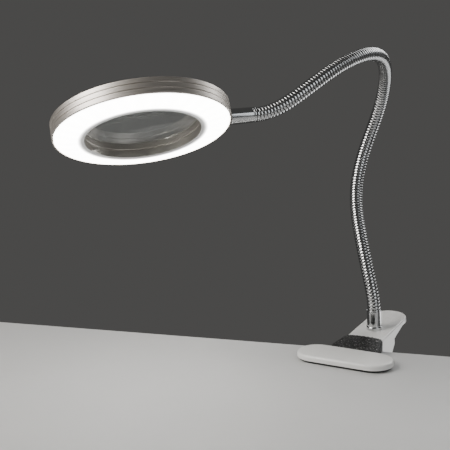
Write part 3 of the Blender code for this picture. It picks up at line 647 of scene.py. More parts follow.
def brushed_nickel():
    """Satin nickel brushed round the ring: streaks in colour, gloss and relief."""
    made = Surface("brushed_satin_nickel", metallic=1.0, anisotropic=0.75)
    fine = made.noise(1.0, 3.0, 0.7, where=made.ring_vector(2.2, 14000.0))
    broad = made.noise(1.0, 4.0, 0.6, where=made.ring_vector(1.1, 1400.0))
    warm = made.blend(made.noise(26.0, 3.0), (0.52, 0.475, 0.425), (0.60, 0.56, 0.52))
    colour = made.blend(made.remap(fine, 0.0, 0.5), warm, (0.74, 0.71, 0.67))
    both = made.plus(made.times(fine, 0.7), made.times(broad, 0.3))
    tangent = made.node("ShaderNodeTangent", direction_type="UV_MAP", uv_map=RING_UV)
    return made.finish((both, 0.16, 0.00006), base_color=colour, roughness=made.remap(both, 0.22, 0.4),
                       tangent=tangent.outputs[0])


def cast_aluminium():
    """Dull casting with a coarse skin."""
    skin = (420.0, 6.0, 0.65)
    return clouded("cast_aluminium", (skin, skin, skin), ((0.58, 0.585, 0.59), (0.74, 0.745, 0.75)),
                   (0.38, 0.55), (0.4, 0.0002), metallic=1.0)


def light_board():
    """White solder mask with faint copper tracks showing through."""
    made = Surface("light_board_mask")
    inputs = {"Vector": made.ring_vector(1.0, 900.0), "Scale": 0.6}
    track = made.node("ShaderNodeTexWave", inputs, wave_type="BANDS", bands_direction="Z")
    shade = made.remap(track.outputs["Fac"], 0.0, 1.0, 0.45, 0.55)
    colour = made.blend(shade, (0.86, 0.87, 0.84), (0.80, 0.82, 0.74))
    gloss = made.remap(made.noise(900.0), 0.35, 0.5)
    return made.finish((shade, 0.2, 0.00005), base_color=colour, roughness=gloss)


def opal():
    """Opal acrylic lit from behind by a circle of lamps, its glow fading out towards the view."""
    made = Surface("opal_lit_diffuser", emission_strength=16.0, coat_weight=0.2)
    point = made.ring_point()
    radius = made.off_axis(point)[1]
    inner = made.remap(radius, 0.0, 1.0, (OPENING + 0.4) * MM, LIT_FROM * MM)
    inner = made.maths("POWER", inner, 4.0)
    outer = made.remap(radius, 1.0, 0.82, (RING_RADIUS - 3.2) * MM, (RING_RADIUS - 1.4) * MM)
    split = made.node("ShaderNodeSeparateXYZ", {0: point})
    turn = made.maths("ARCTAN2", split.outputs["Y"], split.outputs["X"])
    lamps = made.maths("COSINE", made.times(turn, float(LED_COUNT)))
    lit = made.times(made.times(inner, outer), made.remap(lamps, 0.94, 1.0, -1.0, 1.0))
    haze = made.remap(made.noise(60.0, where=point), 0.96, 1.0)
    glow = made.blend(made.times(lit, haze), (0.012, 0.012, 0.012), (1.0, 0.985, 0.955))
    body = made.blend(haze, (0.62, 0.62, 0.61), (0.68, 0.68, 0.67))
    gloss = made.remap(made.noise(700.0, where=point), 0.3, 0.42)
    relief = (made.noise(1600.0, 2.0, where=point), 0.05, 0.00008)
    return made.finish(relief, base_color=body, emission_color=glow, roughness=gloss)


def lens_glass():
    """Clear optical glass with a trace of dust and wiping marks."""
    made = Surface("optical_glass", transmission_weight=0.93, ior=1.52, coat_weight=0.3,
                   coat_roughness=0.02)
    wipe = made.noise(45.0, 8.0, 0.75, 1.5)
    colour = made.blend(made.noise(9.0), (0.93, 0.965, 0.95), (0.95, 0.975, 0.965))
    gloss = made.remap(wipe, 0.0, 0.035, 0.5, 0.8)
    return made.finish((wipe, 0.01, 0.00005), base_color=colour, roughness=gloss)


def lead_sheath():
    """Soft black sheath of the inner lead."""
    return clouded("lead_sheath", ((150.0,), (400.0,), (1400.0, 2.0)),
                   ((0.015, 0.015, 0.015), (0.035, 0.034, 0.033)), (0.5, 0.65), (0.2, 0.0001))


# ---- finishes: a material and the slot that it fills ----
WHITE = (white_plastic(), "white_shell")
GRAINED = (grained_plastic(), "black_grained")
NYLON = (moulded_black(), "black_grained")
GLAND = (NYLON[0], "cord_gland")
RUBBER = (rubber(), "jaw_rubber")
CHROME = (chrome(), "chrome")
# The neck's chrome carries painted shade in its grooves.
NECK_CHROME = (chrome("neck_chrome", shaded_grooves=True), "chrome")
STEEL = (zinc_steel(), "zinc_steel")
NICKEL = (brushed_nickel(), "brushed_nickel")
OPAL = (opal(), "opal_diffuser")
GLASS = (lens_glass(), "lens_glass")
SHEATH = (lead_sheath(), "inner_lead")


# ---- clip pieces ----
def jaw_pad(level, place, body):
    """Rubber pad whose gripping face is cut with fine grooves along the jaw."""
    half = JAW_WIDTH / 2
    outline = [(half, PAD_THICKNESS), (-half, PAD_THICKNESS), (-half, 0.0)]
    count = int(JAW_WIDTH / PAD_GROOVE_PITCH)
    for k in range(count):
        y = -half + PAD_GROOVE_PITCH * (k + 0.5)
        outline += [(y - 0.5, 0.0), (y - 0.2, PAD_GROOVE), (y + 0.2, PAD_GROOVE), (y + 0.5, 0.0)]
    outline.append((half, 0.0))
    made = side_prism(f"{level}_pad", outline, -JAW_LENGTH, JAW_LENGTH, place)

    def edge(inset):
        return stadium(JAW_LENGTH - 2 * PAD_INSET, JAW_WIDTH - 2 * PAD_INSET, inset)

    shape = loft("shape", stacked(edge, 0.0, PAD_THICKNESS, 0.3, foot=0.3, steps=3), place)
    trim(made, shape)
    dress(made, RUBBER, body, f"{level}_jaw_pad")


def jaw_cover(level, place, body):
    """White jaw bar: rounded rim, barely crowned top, hollow below."""
    def outline(inset):
        return stadium(JAW_LENGTH, JAW_WIDTH, inset, 48)

    rings = stacked(outline, COVER_BOTTOM, JAW_TOP - JAW_CROWN, JAW_EDGE, foot=0.35, steps=10)
    widest = JAW_WIDTH / 2 - 1.0
    for k in range(1, 9):
        inset = JAW_EDGE + (widest - JAW_EDGE) * k / 8
        rise = JAW_CROWN * math.sin(RIGHT_ANGLE * k / 8)
        rings.append([(x, y, JAW_TOP - JAW_CROWN + rise) for x, y in outline(inset)])
    made = loft(f"{level}_jaw_shell", rings, place)
    pocket = prism("pocket", stadium(JAW_LENGTH, JAW_WIDTH, JAW_WALL), 0, JAW_ROOF, place)
    doorway = block("doorway", (-ROOT_HALF - 0.5, 12, 0), (ROOT_HALF + 0.5, 20, JAW_ROOF), place)
    cut(made, pocket, doorway)
    dress(made, WHITE, body, f"{level}_jaw_cover")


def pan_head(name, size, place, body, node):
    """A pan head screw with a cross recess; z = 0 is under its head."""
    radius, height, shaft, length = size
    profile = [(0.0, -length), (shaft * 0.5, -length), (shaft, -length + shaft * 0.8), (shaft, 0.0),
               (radius, 0.0), (radius, height * 0.35)]
    dome = arc((0, 0), 1.0, 0, 90, 6)[1:-1] + [(0.0, 1.0)]
    profile += [(radius * x, height * (0.35 + 0.65 * z)) for x, z in dome]
    made = lathe(name, profile, 40)
    corners = [(-0.56, -0.11), (0.56, -0.11), (0.56, 0.11), (-0.56, 0.11)]
    for turn in (SCREW_TURN, SCREW_TURN + RIGHT_ANGLE):
        rings = [[(radius * share * x, radius * share * y, z) for x, y in corners]
                 for share, z in ((0.6, height * 0.25), (1.0, height + 0.2))]
        cut(made, loft("cross", rings, turned(turn, "Z")))
    dress(made, STEEL, body, node, place=place)


def jaw_screws(level, place, body):
    for number, side in enumerate((-1, 1), 1):
        at = shift(side * JAW_SCREW_X, 0, PLATE_BOTTOM + 1.0)
        pan_head(f"{level}_jaw_fixing_{number}", JAW_SCREW, place @ at @ HALF_TURN, body,
                 f"{level}_jaw_screw_{number}")


def block_top(y):
    """Half width and top of the grained block at y."""
    reach = (y - BLOCK_FRONT) / (BLOCK_REAR - BLOCK_FRONT)
    half = BLOCK_HALF_FRONT + (BLOCK_HALF_REAR - BLOCK_HALF_FRONT) * reach
    top = BLOCK_TOP_FRONT + (BLOCK_TOP_REAR - BLOCK_TOP_FRONT) * math.sin(reach * RIGHT_ANGLE)
    return half, top


def resampled(points, step):
    """The open line of (x, z) points again, evenly spaced by about step."""
    length = distances(points)
    count = max(2, round(length[-1] / step))
    return between(np.linspace(0.0, length[-1], count + 1), length, np.array(points))


def block_line(y, inset=0.0):
    """The block's upper outline at y, from its right foot over the crown to its left foot."""
    half, top = block_top(y)
    half, top = half - inset, top - inset
    corner = arc((half - BLOCK_CORNER, top - BLOCK_CORNER), BLOCK_CORNER, 0, 90, 12)
    middle = [((half - BLOCK_CORNER) * (1 - k / 12), top) for k in range(1, 24)]
    over = corner + middle + [(-x, z) for x, z in reversed(corner)]
    line = [(x, z + BLOCK_CROWN * (1 - (x / half) ** 2)) for x, z in over]
    return [(half - 0.6, BLOCK_BOTTOM), (half, BLOCK_BOTTOM + 0.6)] + line + [
        (-half, BLOCK_BOTTOM + 0.6), (-half + 0.6, BLOCK_BOTTOM)]


def grained_block(level, rear, place, body):
    """The block as a dense skin whose spark-eroded grain is real relief."""
    steps = round((rear - BLOCK_FRONT) / GRAIN_STEP)
    count = len(resampled(block_line(BLOCK_FRONT), GRAIN_STEP))
    rings = []
    for k in range(-BLOCK_EDGE_STEPS, steps + BLOCK_EDGE_STEPS + 1):
        past = min(k, 0) + max(k - steps, 0)     # steps into either end's rounded edge
        turn = RIGHT_ANGLE * past / BLOCK_EDGE_STEPS
        share = min(max(k / steps, 0.0), 1.0)
        y = BLOCK_FRONT + BLOCK_EDGE + (rear - BLOCK_FRONT - 2 * BLOCK_EDGE) * share
        y += BLOCK_EDGE * math.sin(turn)
        line = block_line(min(max(y, BLOCK_FRONT), rear), BLOCK_EDGE * (1 - math.cos(turn)))
        length = sum(math.dist(a, b) for a, b in zip(line, line[1:]))
        even = resampled(line, length / (count - 1))
        rings.append([(x, y, z) for x, z in even])
    made = loft(f"{level}_grained_block", rings)
    roughen(made)
    dress(made, GRAINED, body, place=place, sharp=80.0, even=False)


def roughen(piece):
    """Random pits and peaks pushed along the normals, leaving the flat underside alone."""
    moves = []
    for vertex in piece.data.vertices:
        p = vertex.co
        grain = noise.noise(p * 0.95) + 0.6 * noise.noise(p * 2.1 + Vector((7.0, 3.0, 1.0)))
        height = GRAIN_HEIGHT * (grain - 0.6) if p.z > BLOCK_BOTTOM + 0.3 else 0.0
        moves.append(vertex.normal * height)
    for vertex, move in zip(piece.data.vertices, moves):
        vertex.co += move


def jaw_plate(level, place):
    """The plate inside a jaw, from which the rest of that half's moulding is built."""
    outline = stadium(JAW_LENGTH, JAW_WIDTH, PLATE_INSET)
    plate = prism(f"{level}_moulding", outline, PLATE_BOTTOM, PLATE_TOP, place)
    root = block("root", (-ROOT_HALF, 8, PLATE_BOTTOM), (ROOT_HALF, 22, PLATE_TOP - 0.02), place)
    unite(plate, root)
    for side in (-1, 1):
        profile = [(0, 0), (2.6, 0), (2.6, PLATE_BOTTOM + 1.3), (1.5, PLATE_BOTTOM + 1.3),
                   (1.5, 6.0), (0, 6.0)]
        at = shift(side * JAW_SCREW_X, 0, 0)
        cut(plate, lathe("recess", profile, 24, place @ at))
    return plate


def upper_spine():
    """The black moulding under the shells: jaw plate, tongue and hinge ears."""
    made = jaw_plate("upper", HERE)
    core = block("core", (-CORE_HALF, 20.0, 1.2), (CORE_HALF, BLOCK_REAR - 0.4, CORE_TOP))
    tongue = prism("tongue", tongue_outline(TONGUE_HALF, -5.0, TONGUE_LENGTH), TONGUE_BOTTOM,
                   TONGUE_TOP, UPPER_LEVER)
    unite(made, core, tongue)
    ear = [(42.0, 1.5), (46.5, 0.6), (49.0, -3.0)] + arc(PIVOT, EAR_RADIUS, 180, 360, 40)
    ear += [(68.0, 4.9), (42.0, 3.2)]
    for side in (-1, 1):
        unite(made, side_prism("ear", ear, side * EAR_INNER, side * (TONGUE_HALF - 0.05)))
    cut(made, rod("pin_hole", PIN_HOLE, -20, 20, PIVOT_AXIS))
    cut(made, rod("stud_hole", STUD_HOLE, -9, 1, NECK_FOOT))
    screw_at = UPPER_LEVER @ shift(0, LEVER_SCREW_AT, 0)
    cut(made, rod("screw_hole", LEVER_SCREW_HOLE, -9, 1, screw_at, sides=24))
    dress(made, NYLON, "upper_arm", "upper_spine")


def lever_shell(level, place, start, end, depth, side):
    """A lever's white shell, its skin at local z = 0; side is its outline seen from the side."""
    def outline(inset):
        return tongue_outline(LEVER_HALF, start, end, inset, 64)

    made = loft(f"{level}_lever_shell", stacked(outline, -depth, 0.0, LEVER_EDGE), place)
    trim(made, side_prism("side", side, -30, 30, place))
    room = tongue_outline(LEVER_HALF, start - 3, end, LEVER_WALL, 64)
    cut(made, prism("room", room, -depth - 8, -LEVER_WALL, place))
    return made


def upper_lever_cover():
    """White shell over the lever, with side skirts that run down over the hinge ears."""
    pivot = UPPER_LEVER.inverted() @ Vector((0, *PIVOT))
    side = [(-2, 2), (80, 2), (80, -4.1), (50, -4.4), (34, -8.0), (29.5, -9.6), (29.5, -14.0)]
    side += arc((pivot.y, pivot.z), COVER_EAR_RADIUS, -5, -180, 40)
    side += [(2.0, -12.5), (-0.5, -9.8), (-2, -9.8)]
    made = lever_shell("upper", UPPER_LEVER, 0.0, LEVER_LENGTH, 32, side)
    cut(made, rod("stud_hole", STUD_HOLE, -9, 3, NECK_FOOT))
    soften(made, 0.3)
    dress(made, WHITE, "upper_arm", "upper_lever_cover")


def lower_spine():
    """The lower half's black moulding: jaw plate, two inner hinge plates and the tongue."""
    made = jaw_plate("lower", MIRROR)
    core = block("core", (-CORE_HALF, 20.0, 1.2), (CORE_HALF, LOWER_BLOCK_REAR - 0.4, CORE_TOP),
                 MIRROR)
    tongue = prism("tongue", tongue_outline(TONGUE_HALF, LOWER_START + 2, LOWER_REACH - 3.2),
                   LOWER_TONGUE_BOTTOM, LOWER_TONGUE_TOP, LOWER_LEVER)
    neck = block("neck", (-LOWER_PLATE_OUTER + 0.1, 9.5, LOWER_TONGUE_BOTTOM + 0.02),
                 (LOWER_PLATE_OUTER - 0.1, 30, LOWER_TONGUE_TOP - 0.02), LOWER_LEVER)
    rear = [LOWER_LEVER @ Vector((0, s, t)) for s, t in ((26, -5.95), (26, -8.4), (9.0, -8.4))]
    plate = [(36.5, -21.2), (45.5, -20.9)] + arc(PIVOT, LOWER_DISC, 150, 30, 32)
    plate += [(p.y, p.z) for p in rear] + [(46.0, -27.0), (36.5, -27.0)]
    unite(made, core)
    for side in (-1, 1):
        unite(made, side_prism("plate", plate, side * LOWER_PLATE_INNER, side * LOWER_PLATE_OUTER))
    unite(made, neck, tongue)
    cut(made, rod("pin_hole", PIN_HOLE, -20, 20, PIVOT_AXIS))
    for along in LOWER_SCREWS:
        place = LOWER_LEVER @ shift(0, along, 0)
        cut(made, rod("screw_hole", LEVER_SCREW_HOLE, -10, -4, place, sides=24))
    dress(made, NYLON, "lower_arm", "lower_spine")


def lower_lever_cover():
    """White shell under the lower handle, its skirts turned up."""
    place = LOWER_LEVER @ shift(0, 0, LOWER_SKIN) @ Matrix.Diagonal((1, 1, -1, 1))
    side = [(10, 2), (70, 2), (70, -4.2), (50, -4.6), (30, -7.4), (10, -7.4)]
    made = lever_shell("lower", place, LOWER_START, LOWER_REACH, 12, side)
    soften(made, 0.3)
    dress(made, WHITE, "lower_arm", "lower_lever_cover")


def lever_screws():
    at = shift(0, LEVER_SCREW_AT, TONGUE_BOTTOM - GAP)
    pan_head("upper_lever_fixing", LEVER_SCREW, UPPER_LEVER @ at @ HALF_TURN, "upper_arm",
             "upper_lever_screw")
    for number, along in enumerate(LOWER_SCREWS, 1):
        at = shift(0, along, LOWER_TONGUE_TOP + GAP)
        pan_head(f"lower_lever_fixing_{number}", LEVER_SCREW, LOWER_LEVER @ at, "lower_arm",
                 f"lower_lever_screw_{number}")


def torsion_spring():
    """The coil twists between the two halves, each leg with its own lever."""
    steps = round(COIL_STEPS * COIL_TURNS)
    coil = arc(PIVOT, COIL_RADIUS, COIL_START, COIL_START - 360.0 * COIL_TURNS, steps)
    back = turned(LOWER_PITCH, "Z") @ Vector((1, 0, 0))
    points = [(-COIL_HALF, coil[0][0] + back.x * reach, coil[0][1] + back.y * reach)
              for reach in (26.0, 20.0, 14.0, 8.0, 3.0, 1.2)]
    points += [(COIL_HALF * (2 * k / steps - 1), y, z) for k, (y, z) in enumerate(coil)]
    points += [(COIL_HALF, y, z) for y, z in
               ((59.0, -4.0), (62.5, 0.2), (65.3, 2.9), (68.5, 4.1), (73.0, 4.6), (80.0, 5.2))]
    made = tube("spring_wire", points, WIRE_RADIUS, 16)
    dress(made, STEEL, None, "torsion_spring", even=False)
    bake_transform(made)


def hinge_pin():
    pin = [(0.0, -PIN_HALF), (PIN_RADIUS, -PIN_HALF), (PIN_RADIUS, PIN_HALF), (0.0, PIN_HALF)]
    made = lathe("hinge_pin", eased(pin, 0.4, closed=False), 48)
    dress(made, STEEL, "upper_arm", "pivot_pin", place=PIVOT_AXIS, even=False)


def clip():
    for level, place, rear in (("upper", HERE, BLOCK_REAR), ("lower", MIRROR, LOWER_BLOCK_REAR)):
        body = f"{level}_arm"
        jaw_pad(level, place, body)
        jaw_cover(level, place, body)
        jaw_screws(level, place, body)
        grained_block(level, rear, place, body)
    upper_spine()
    upper_lever_cover()
    lower_spine()
    lower_lever_cover()
    lever_screws()
    hinge_pin()
    torsion_spring()


# ---- neck foot ----
def hex_nut(name, flats, low, high, hole, place, body, node):
    """A hexagon nut with its corners turned off and a countersunk bore."""
    corner = flats / 2 / math.cos(math.radians(30))
    made = prism(name, arc((0, 0), corner, 0, 300, 5), low, high)
    rim = corner + 0.05
    barrel = [(0.0, low), (flats / 2, low), (rim, low + 0.45), (rim, high - 0.45), (flats / 2, high),
              (0.0, high)]
    trim(made, lathe("barrel", barrel, 64))
    bore = [(0.0, low - 1), (hole + 1.4, low - 1), (hole, low + 0.4), (hole, high - 0.4),
            (hole + 1.4, high + 1), (0.0, high + 1)]
    cut(made, lathe("bore", bore, 48))
    dress(made, STEEL, body, node, place=place)


def neck_foot():
    top = FERRULE_HEIGHT
    socket = NECK_RADIUS + 0.2
    floor = top - NECK_IN_FERRULE - 1.0
    profile = [
        (LEAD_BORE, STUD_BOTTOM), (STUD_RADIUS, STUD_BOTTOM), (STUD_RADIUS, GAP),
        (FLANGE_RADIUS, 0.05), (FLANGE_RADIUS, 3.0), (FERRULE_RADIUS, 3.5),
        (FERRULE_RADIUS, top), (socket, top), (socket, floor), (LEAD_BORE, floor),
    ]
    made = lathe("foot_socket", eased(profile, 0.35), 96)
    dress(made, CHROME, "upper_arm", "base_ferrule", place=NECK_FOOT)
    hole = STUD_RADIUS + GAP
    high = TONGUE_BOTTOM - GAP
    low = high - WASHER_HEIGHT
    washer = [(hole, low), (WASHER_RADIUS, low), (WASHER_RADIUS, high), (hole, high)]
    made = lathe("foot_washer", eased(washer, 0.15), 64)
    dress(made, STEEL, "upper_arm", "base_washer", place=NECK_FOOT, even=False)
    high = low - GAP
    low = high - BASE_NUT_HEIGHT
    hex_nut("foot_nut", BASE_NUT_FLATS, low, high, hole, NECK_FOOT @ QUARTER, "upper_arm", "base_nut")
    cord_outlet(low - GAP, hole)


def cord_outlet(top, stud_hole):
    """The gland round the end of the stud: two grooves round its nose and a bore for the lead."""
    bore = LEAD_BORE + 0.1
    profile = [(bore, -16.6), (3.4, -16.6), (4.0, -15.6)]
    for z in (-14.5, -13.0):
        profile += [(4.0, z - 0.4), (3.6, z - 0.2), (3.6, z + 0.2), (4.0, z + 0.4)]
    profile += [(4.0, top), (stud_hole, top), (stud_hole, STUD_BOTTOM - GAP), (bore, STUD_BOTTOM - GAP)]
    made = lathe("cord_outlet", eased(profile, 0.12, steps=2), 64)
    dress(made, GLAND, "upper_arm", "cord_gland", place=NECK_FOOT, even=False)


# ---- gooseneck ----
def clamped_spline(points, start, end):
    """Knots, points and second derivatives of a cubic spline with given end directions."""
    points = np.array(points)
    knots = distances(points)
    step = np.diff(knots)
    slope = np.diff(points, axis=0) / step[:, None]
    count = len(points)
    system = np.zeros((count, count))
    right = np.zeros((count, 3))
    system[0, :2] = 2 * step[0], step[0]
    right[0] = 6 * (slope[0] - start)
    system[-1, -2:] = step[-1], 2 * step[-1]
    right[-1] = 6 * (end - slope[-1])
    for i in range(1, count - 1):
        system[i, i - 1:i + 2] = step[i - 1], 2 * (step[i - 1] + step[i]), step[i]
        right[i] = 6 * (slope[i] - slope[i - 1])
    return knots, points, np.linalg.solve(system, right)


def spline_points(spline, at):
    knots, points, second = spline
    i = np.clip(np.searchsorted(knots, at) - 1, 0, len(knots) - 2)
    h = (knots[i + 1] - knots[i])[:, None]
    a = (knots[i + 1] - at)[:, None] / h
    b = (at - knots[i])[:, None] / h
    bend = ((a ** 3 - a) * second[i] + (b ** 3 - b) * second[i + 1]) * h * h / 6
    return a * points[i] + b * points[i + 1] + bend


def neck_path(samples=2400):
    """Evenly spaced points, tangents and side directions along the gooseneck's centreline."""
    start = np.array(NECK_FOOT.to_3x3() @ Vector((0, 0, 1)))
    spline = clamped_spline(ROUTE, start, -np.array(HEAD_RADIAL))
    rough = spline_points(spline, np.linspace(0, spline[0][-1], 6000))
    length = distances(rough)
    along = np.linspace(0, length[-1], samples)
    points = between(along, length, rough)
    tangents = np.gradient(points, along, axis=0)
    tangents /= np.linalg.norm(tangents, axis=1)[:, None]
    sides = [np.array((1.0, 0.0, 0.0))]
    for tangent in tangents[1:]:
        side = sides[-1] - tangent * (sides[-1] @ tangent)
        sides.append(side / np.linalg.norm(side))
    return along, points, tangents, np.array(sides)


def frames_at(path, at):
    """Points, tangents and side directions at distances along the path, straight on below zero."""
    point, tangent, side = (between(at, path[0], rows) for rows in path[1:])
    tangent /= np.linalg.norm(tangent, axis=1)[:, None]
    side -= tangent * np.sum(side * tangent, axis=1)[:, None]
    side /= np.linalg.norm(side, axis=1)[:, None]
    point = point + tangent * np.minimum(at, 0.0)[:, None]
    return point, tangent, side


def rib_radius(share):
    """The wound tube's radius across one turn: a flattened round rib between two narrow grooves."""
    across = np.abs(2 * share - 1)
    bulge = (1 - across ** RIB_SQUARENESS) ** (1 / RIB_SQUARENESS)
    return NECK_RADIUS - RIB_DEPTH * (1 - bulge)


def wound_tube(name, path, pitch, first, last):
    """The wound skin from one turn to another. Its grid follows the helix, each column joining the
    next and the last one the first of the turn above, so that every groove is an edge line."""
    n, m = NECK_SIDES, RIB_STEPS
    rows = np.arange(first * m, (last + 1) * m + 1)
    i, j = np.meshgrid(rows, np.arange(n), indexing="ij")
    at = np.minimum(-NECK_IN_FERRULE + pitch * (i / m + j / n), path[0][-1]).ravel()
    point, tangent, side = frames_at(path, at)
    other = np.cross(tangent, side)
    angle = (2 * math.pi * j / n).ravel()
    radius = rib_radius((i % m) / m).ravel()
    around = side * np.cos(angle)[:, None] + other * np.sin(angle)[:, None]
    verts = point + around * radius[:, None]
    faces = []
    for row in range((last - first) * m):
        for k in range(n):
            a = row * n + k
            b = a + 1 if k < n - 1 else (row + m) * n
            faces.append((a, b, b + n, a + n))
    mesh = bpy.data.meshes.new(name)
    mesh.from_pydata(verts.tolist(), [], faces)
    layer = mesh.attributes.new(GROOVE_LAYER, "FLOAT", "POINT")
    layer.data.foreach_set("value", (NECK_RADIUS - radius) / RIB_DEPTH)
    bm = bmesh.new()
    bm.from_mesh(mesh)
    bpy.data.meshes.remove(mesh)
    loose = [v for v in bm.verts if not v.link_faces]
    bmesh.ops.delete(bm, geom=loose, context="VERTS")
    bmesh.ops.holes_fill(bm, edges=[e for e in bm.edges if e.is_boundary], sides=0)
    return from_bmesh(name, bm)


def bend_across(piece, path, hinge):
    """Bakes a finished piece's place into its mesh; the tangent at the neck's hinge of that number,
    counted from 1, is worked out but not used.
    """
    segment = path[0][-1] / NECK_SEGMENTS
    _, tangent, _ = frames_at(path, np.array([hinge * segment]))
    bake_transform(piece)


def gooseneck(path):
    """One wound length for each hinge, from the middle of a segment to the middle of the next."""
    total = path[0][-1] + NECK_IN_FERRULE
    turns = round(total / RIB_PITCH)
    pitch = total / turns
    segment = path[0][-1] / NECK_SEGMENTS
    ends = [0]
    for k in range(1, NECK_SEGMENTS - 1):
        ends.append(round((segment * (k + 0.5) + NECK_IN_FERRULE) / pitch))
    ends.append(turns)
    for hinge in range(1, NECK_SEGMENTS):
        made = wound_tube(f"gooseneck_{hinge}", path, pitch, ends[hinge - 1], ends[hinge])
        nodes = [f"neck_{hinge}"]
        if hinge == NECK_SEGMENTS - 1:
            nodes.append(f"neck_{NECK_SEGMENTS}")
        dress(made, NECK_CHROME, None, *nodes, sharp=55.0, even=False)
        bend_across(made, path, hinge)


def inner_lead(path):
    """The lead inside the gooseneck, in the same lengths as the wound tube."""
    segment = path[0][-1] / NECK_SEGMENTS
    foot = [NECK_FOOT @ Vector((0, 0, h)) for h in (-16.0, -8.0, 0.0, 8.0)]
    tip = [HEAD_NECK_AXIS @ Vector((0, 0, x)) for x in (92.5, 84.0, 74.0, 61.2)]
    for hinge in range(1, NECK_SEGMENTS):
        low = 0.0 if hinge == 1 else segment * (hinge - 0.5)
        high = path[0][-1] - 1.0 if hinge == NECK_SEGMENTS - 1 else segment * (hinge + 0.5)
        points = [Vector(p) for p in frames_at(path, np.linspace(low, high, 20))[0]]
        if hinge == 1:
            points = foot + points
        if hinge == NECK_SEGMENTS - 1:
            points = points + tip
        made = tube(f"lead_{hinge}", points, LEAD_RADIUS, 12)
        nodes = ["neck_lead"] if hinge == 1 else []
        dress(made, SHEATH, None, *nodes, even=False)
        bend_across(made, path, hinge)


# ---- ring head pieces ----
def ring_turning(name, profile, easing, node, steps=2):
    """A brushed part of the ring: a profile with eased corners turned about the lens axis."""
    made = lathe(name, eased(profile, easing, steps=steps), RING_SIDES)
    wrap_uv(made)
    dress(made, NICKEL, "head", node, place=HEAD)


def outer_bezel():
    r, inner = RING_RADIUS, RING_RADIUS - RING_WALL
    profile = [(inner, 0.0), (r - 0.35, 0.0), (r, 0.35)]
    for z in GROOVES:
        profile += [(r, z - GROOVE_HALF), (r - GROOVE_DEPTH, z - GROOVE_HALF * 0.4),
                    (r - GROOVE_DEPTH, z + GROOVE_HALF * 0.4), (r, z + GROOVE_HALF)]
    profile += [(r, RING_HEIGHT - 0.45), (r - 0.45, RING_HEIGHT), (inner, RING_HEIGHT)]
    ring_turning("ring_bezel", profile, 0.12, "outer_bezel")


def top_cover():
    outer = RING_RADIUS - RING_WALL - 0.15
    profile = [(45.4, COVER_UNDERSIDE), (outer, COVER_UNDERSIDE), (outer, 12.75),
               (outer - 0.25, RING_HEIGHT), (46.6, RING_HEIGHT), (45.6, 12.6)]
    ring_turning("ring_top", profile, 0.15, "top_cover", steps=3)


def inner_wall():
    """The view's inner wall: sleeve below, lens retaining ring above, a dark seam between."""
    low, high = SEAM
    sleeve = [(OPENING, SLEEVE_BOTTOM), (SLEEVE_OUTER, SLEEVE_BOTTOM), (SLEEVE_OUTER, low),
              (OPENING + 0.35, low), (OPENING, low - 0.4)]
    ring_turning("view_sleeve", sleeve, 0.1, "inner_sleeve")
    ring = [(OPENING, high + 0.4), (OPENING + 0.35, high), (SLEEVE_OUTER, high),
            (SLEEVE_OUTER, RETAINER_TOP), (OPENING, RETAINER_TOP)]
    ring_turning("lens_ring", ring, 0.1, "lens_retaining_ring")


def diffuser():
    """Opal ring, slightly conical, with a rolled lip round the view."""
    under = []
    for k in range(25):
        share = k / 24
        r = DIFFUSER_OUTER + (DIFFUSER_INNER - DIFFUSER_OUTER) * share
        under.append((r, 0.1 - DIFFUSER_DROP * math.sin(share * RIGHT_ANGLE) ** 0.9))
    lip = arc((47.2, -2.5), 1.15, -80, -180, 8)
    back = [(46.3, -1.2), (47.4, -1.2)] + [(r, z + DIFFUSER_WALL) for r, z in reversed(under[:-1])]
    made = lathe("opal_ring", under + lip + back, RING_SIDES)
    dress(made, OPAL, "head", "diffuser", place=HEAD, even=False)


def lens():
    """Biconvex lens with a ground edge."""
    points = [(0.0, LENS_SEAT[0] - LENS_SAG)]
    for k in range(1, 41):
        r = (LENS_RADIUS - 0.25) * k / 40
        points.append((r, LENS_SEAT[0] - LENS_SAG * (1 - (r / LENS_RADIUS) ** 2)))
    points.append((LENS_RADIUS, LENS_SEAT[0] + 0.25))
    upper = [(r, sum(LENS_SEAT) - z) for r, z in reversed(points)]
    made = lathe("magnifier_glass", points + upper, 192)
    dress(made, GLASS, "head", "lens", place=HEAD, even=False)


def head_fittings():
    near, far = HEAD_FERRULE
    profile = [
        (LEAD_BORE, near - 5.3), (HEAD_STUD, near - 5.3), (HEAD_STUD, near), (6.3, near),
        (6.6, near + 0.5), (6.3, far - 2.6), (5.75, far - 2.3), (5.75, far - 1.9), (6.2, far - 1.6),
        (6.2, far - 0.3), (5.9, far), (2.9, far), (2.9, far + 3.0), (LEAD_BORE, far + 3.0),
    ]
    made = lathe("head_socket", eased(profile, 0.15), 96)
    dress(made, CHROME, "head", "head_ferrule", place=HEAD_NECK_AXIS)
    hex_nut("head_fixing_nut", HEAD_NUT_FLATS, *HEAD_NUT, HEAD_STUD + GAP, HEAD_NECK_AXIS @ QUARTER,
            "head", "head_nut")
    for number, (x, y) in enumerate(arc((0, 0), SCREW_CIRCLE, 45, 315, 3), 1):
        place = HEAD @ shift(x, y, RING_HEIGHT + 0.05) @ turned(0.7 * number, "Z")
        pan_head(f"cover_fixing_{number}", COVER_SCREW, place, "head", f"cover_screw_{number}")


def kept_nodes():
    """CAD pieces inside the ring, which keep their own meshes."""
    for node, material in (("ring_frame", cast_aluminium()), ("led_board", light_board())):
        mesh = frame["nodes"][node].data
        mesh.materials.clear()
        mesh.materials.append(material)


def ring_head():
    outer_bezel()
    top_cover()
    inner_wall()
    diffuser()
    lens()
    head_fittings()
    kept_nodes()


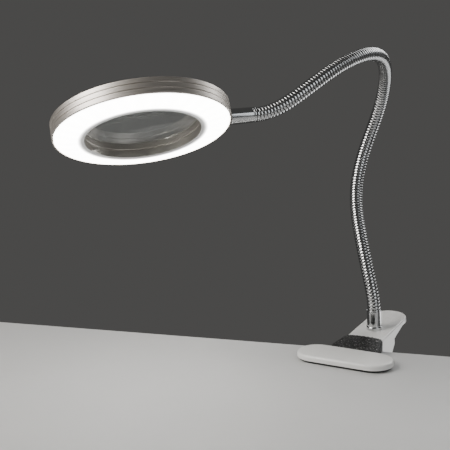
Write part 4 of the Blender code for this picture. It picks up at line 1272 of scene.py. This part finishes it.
# ---- stage ----
def tabletop():
    """A pale board between the jaws, its far edge a little out of line with them."""
    left, right, front = -900.0, 700.0, -620.0
    far = [(x, TABLE_EDGE + TABLE_SLOPE * x) for x in (right, left)]
    outline = [(left, front), (right, front)] + far
    made = prism("tabletop", outline, -BOARD + 0.1, -0.1)
    soften(made, 0.8, 3)
    made.data.transform(Matrix.Scale(MM, 4))
    laminate = Surface("pale_laminate")
    colour = laminate.blend(laminate.noise(6.0), (0.56, 0.56, 0.555), (0.62, 0.62, 0.615))
    gloss = laminate.remap(laminate.noise(40.0), 0.42, 0.5)
    made.data.materials.append(laminate.finish(base_color=colour, roughness=gloss))


def area_light(name, at, towards, size, power, colour=(1.0, 1.0, 1.0)):
    data = bpy.data.lights.new(name, "AREA")
    data.shape = "RECTANGLE"
    data.size, data.size_y = size
    data.energy = power
    data.color = colour
    made = link(name, data)
    made.location = at
    made.rotation_mode = "QUATERNION"
    made.rotation_quaternion = (Vector(towards) - Vector(at)).to_track_quat("-Z", "Y")


def studio():
    tabletop()
    aim = (-0.03, 0.0, 0.12)
    area_light("key", (-0.9, -0.9, 1.1), aim, (0.9, 0.9), 24.0, (1.0, 0.97, 0.93))
    area_light("fill", (1.3, -0.5, 0.7), aim, (0.8, 1.1), 4.0, (0.95, 0.98, 1.0))
    area_light("rear", (0.2, 1.3, 0.9), aim, (1.2, 0.6), 9.0)
    area_light("bounce", (0.5, 0.9, -0.5), (0.0, 0.05, -0.02), (0.7, 0.7), 3.5)
    world = bpy.data.worlds.new("studio")
    bpy.context.scene.world = world
    world.use_nodes = True
    background = world.node_tree.nodes["Background"]
    background.inputs["Color"].default_value = (0.075, 0.074, 0.072, 1.0)
    background.inputs["Strength"].default_value = 1.0


def camera():
    data = bpy.data.cameras.new("camera")
    data.sensor_width = 36.0
    data.lens = CAMERA_LENS
    data.clip_start, data.clip_end = 0.02, 20.0
    made = link("camera", data)
    level = turned(CAMERA_YAW, "Z") @ turned(RIGHT_ANGLE, "X")
    facing = level @ turned(-CAMERA_PITCH, "X") @ turned(CAMERA_ROLL, "Z")
    made.matrix_world = Matrix.Translation(Vector(CAMERA_AT) * MM) @ facing
    bpy.context.scene.camera = made


# ---- the lamp ----
camera()
studio()
clip()
neck_foot()
route = neck_path()
gooseneck(route)
inner_lead(route)
ring_head()
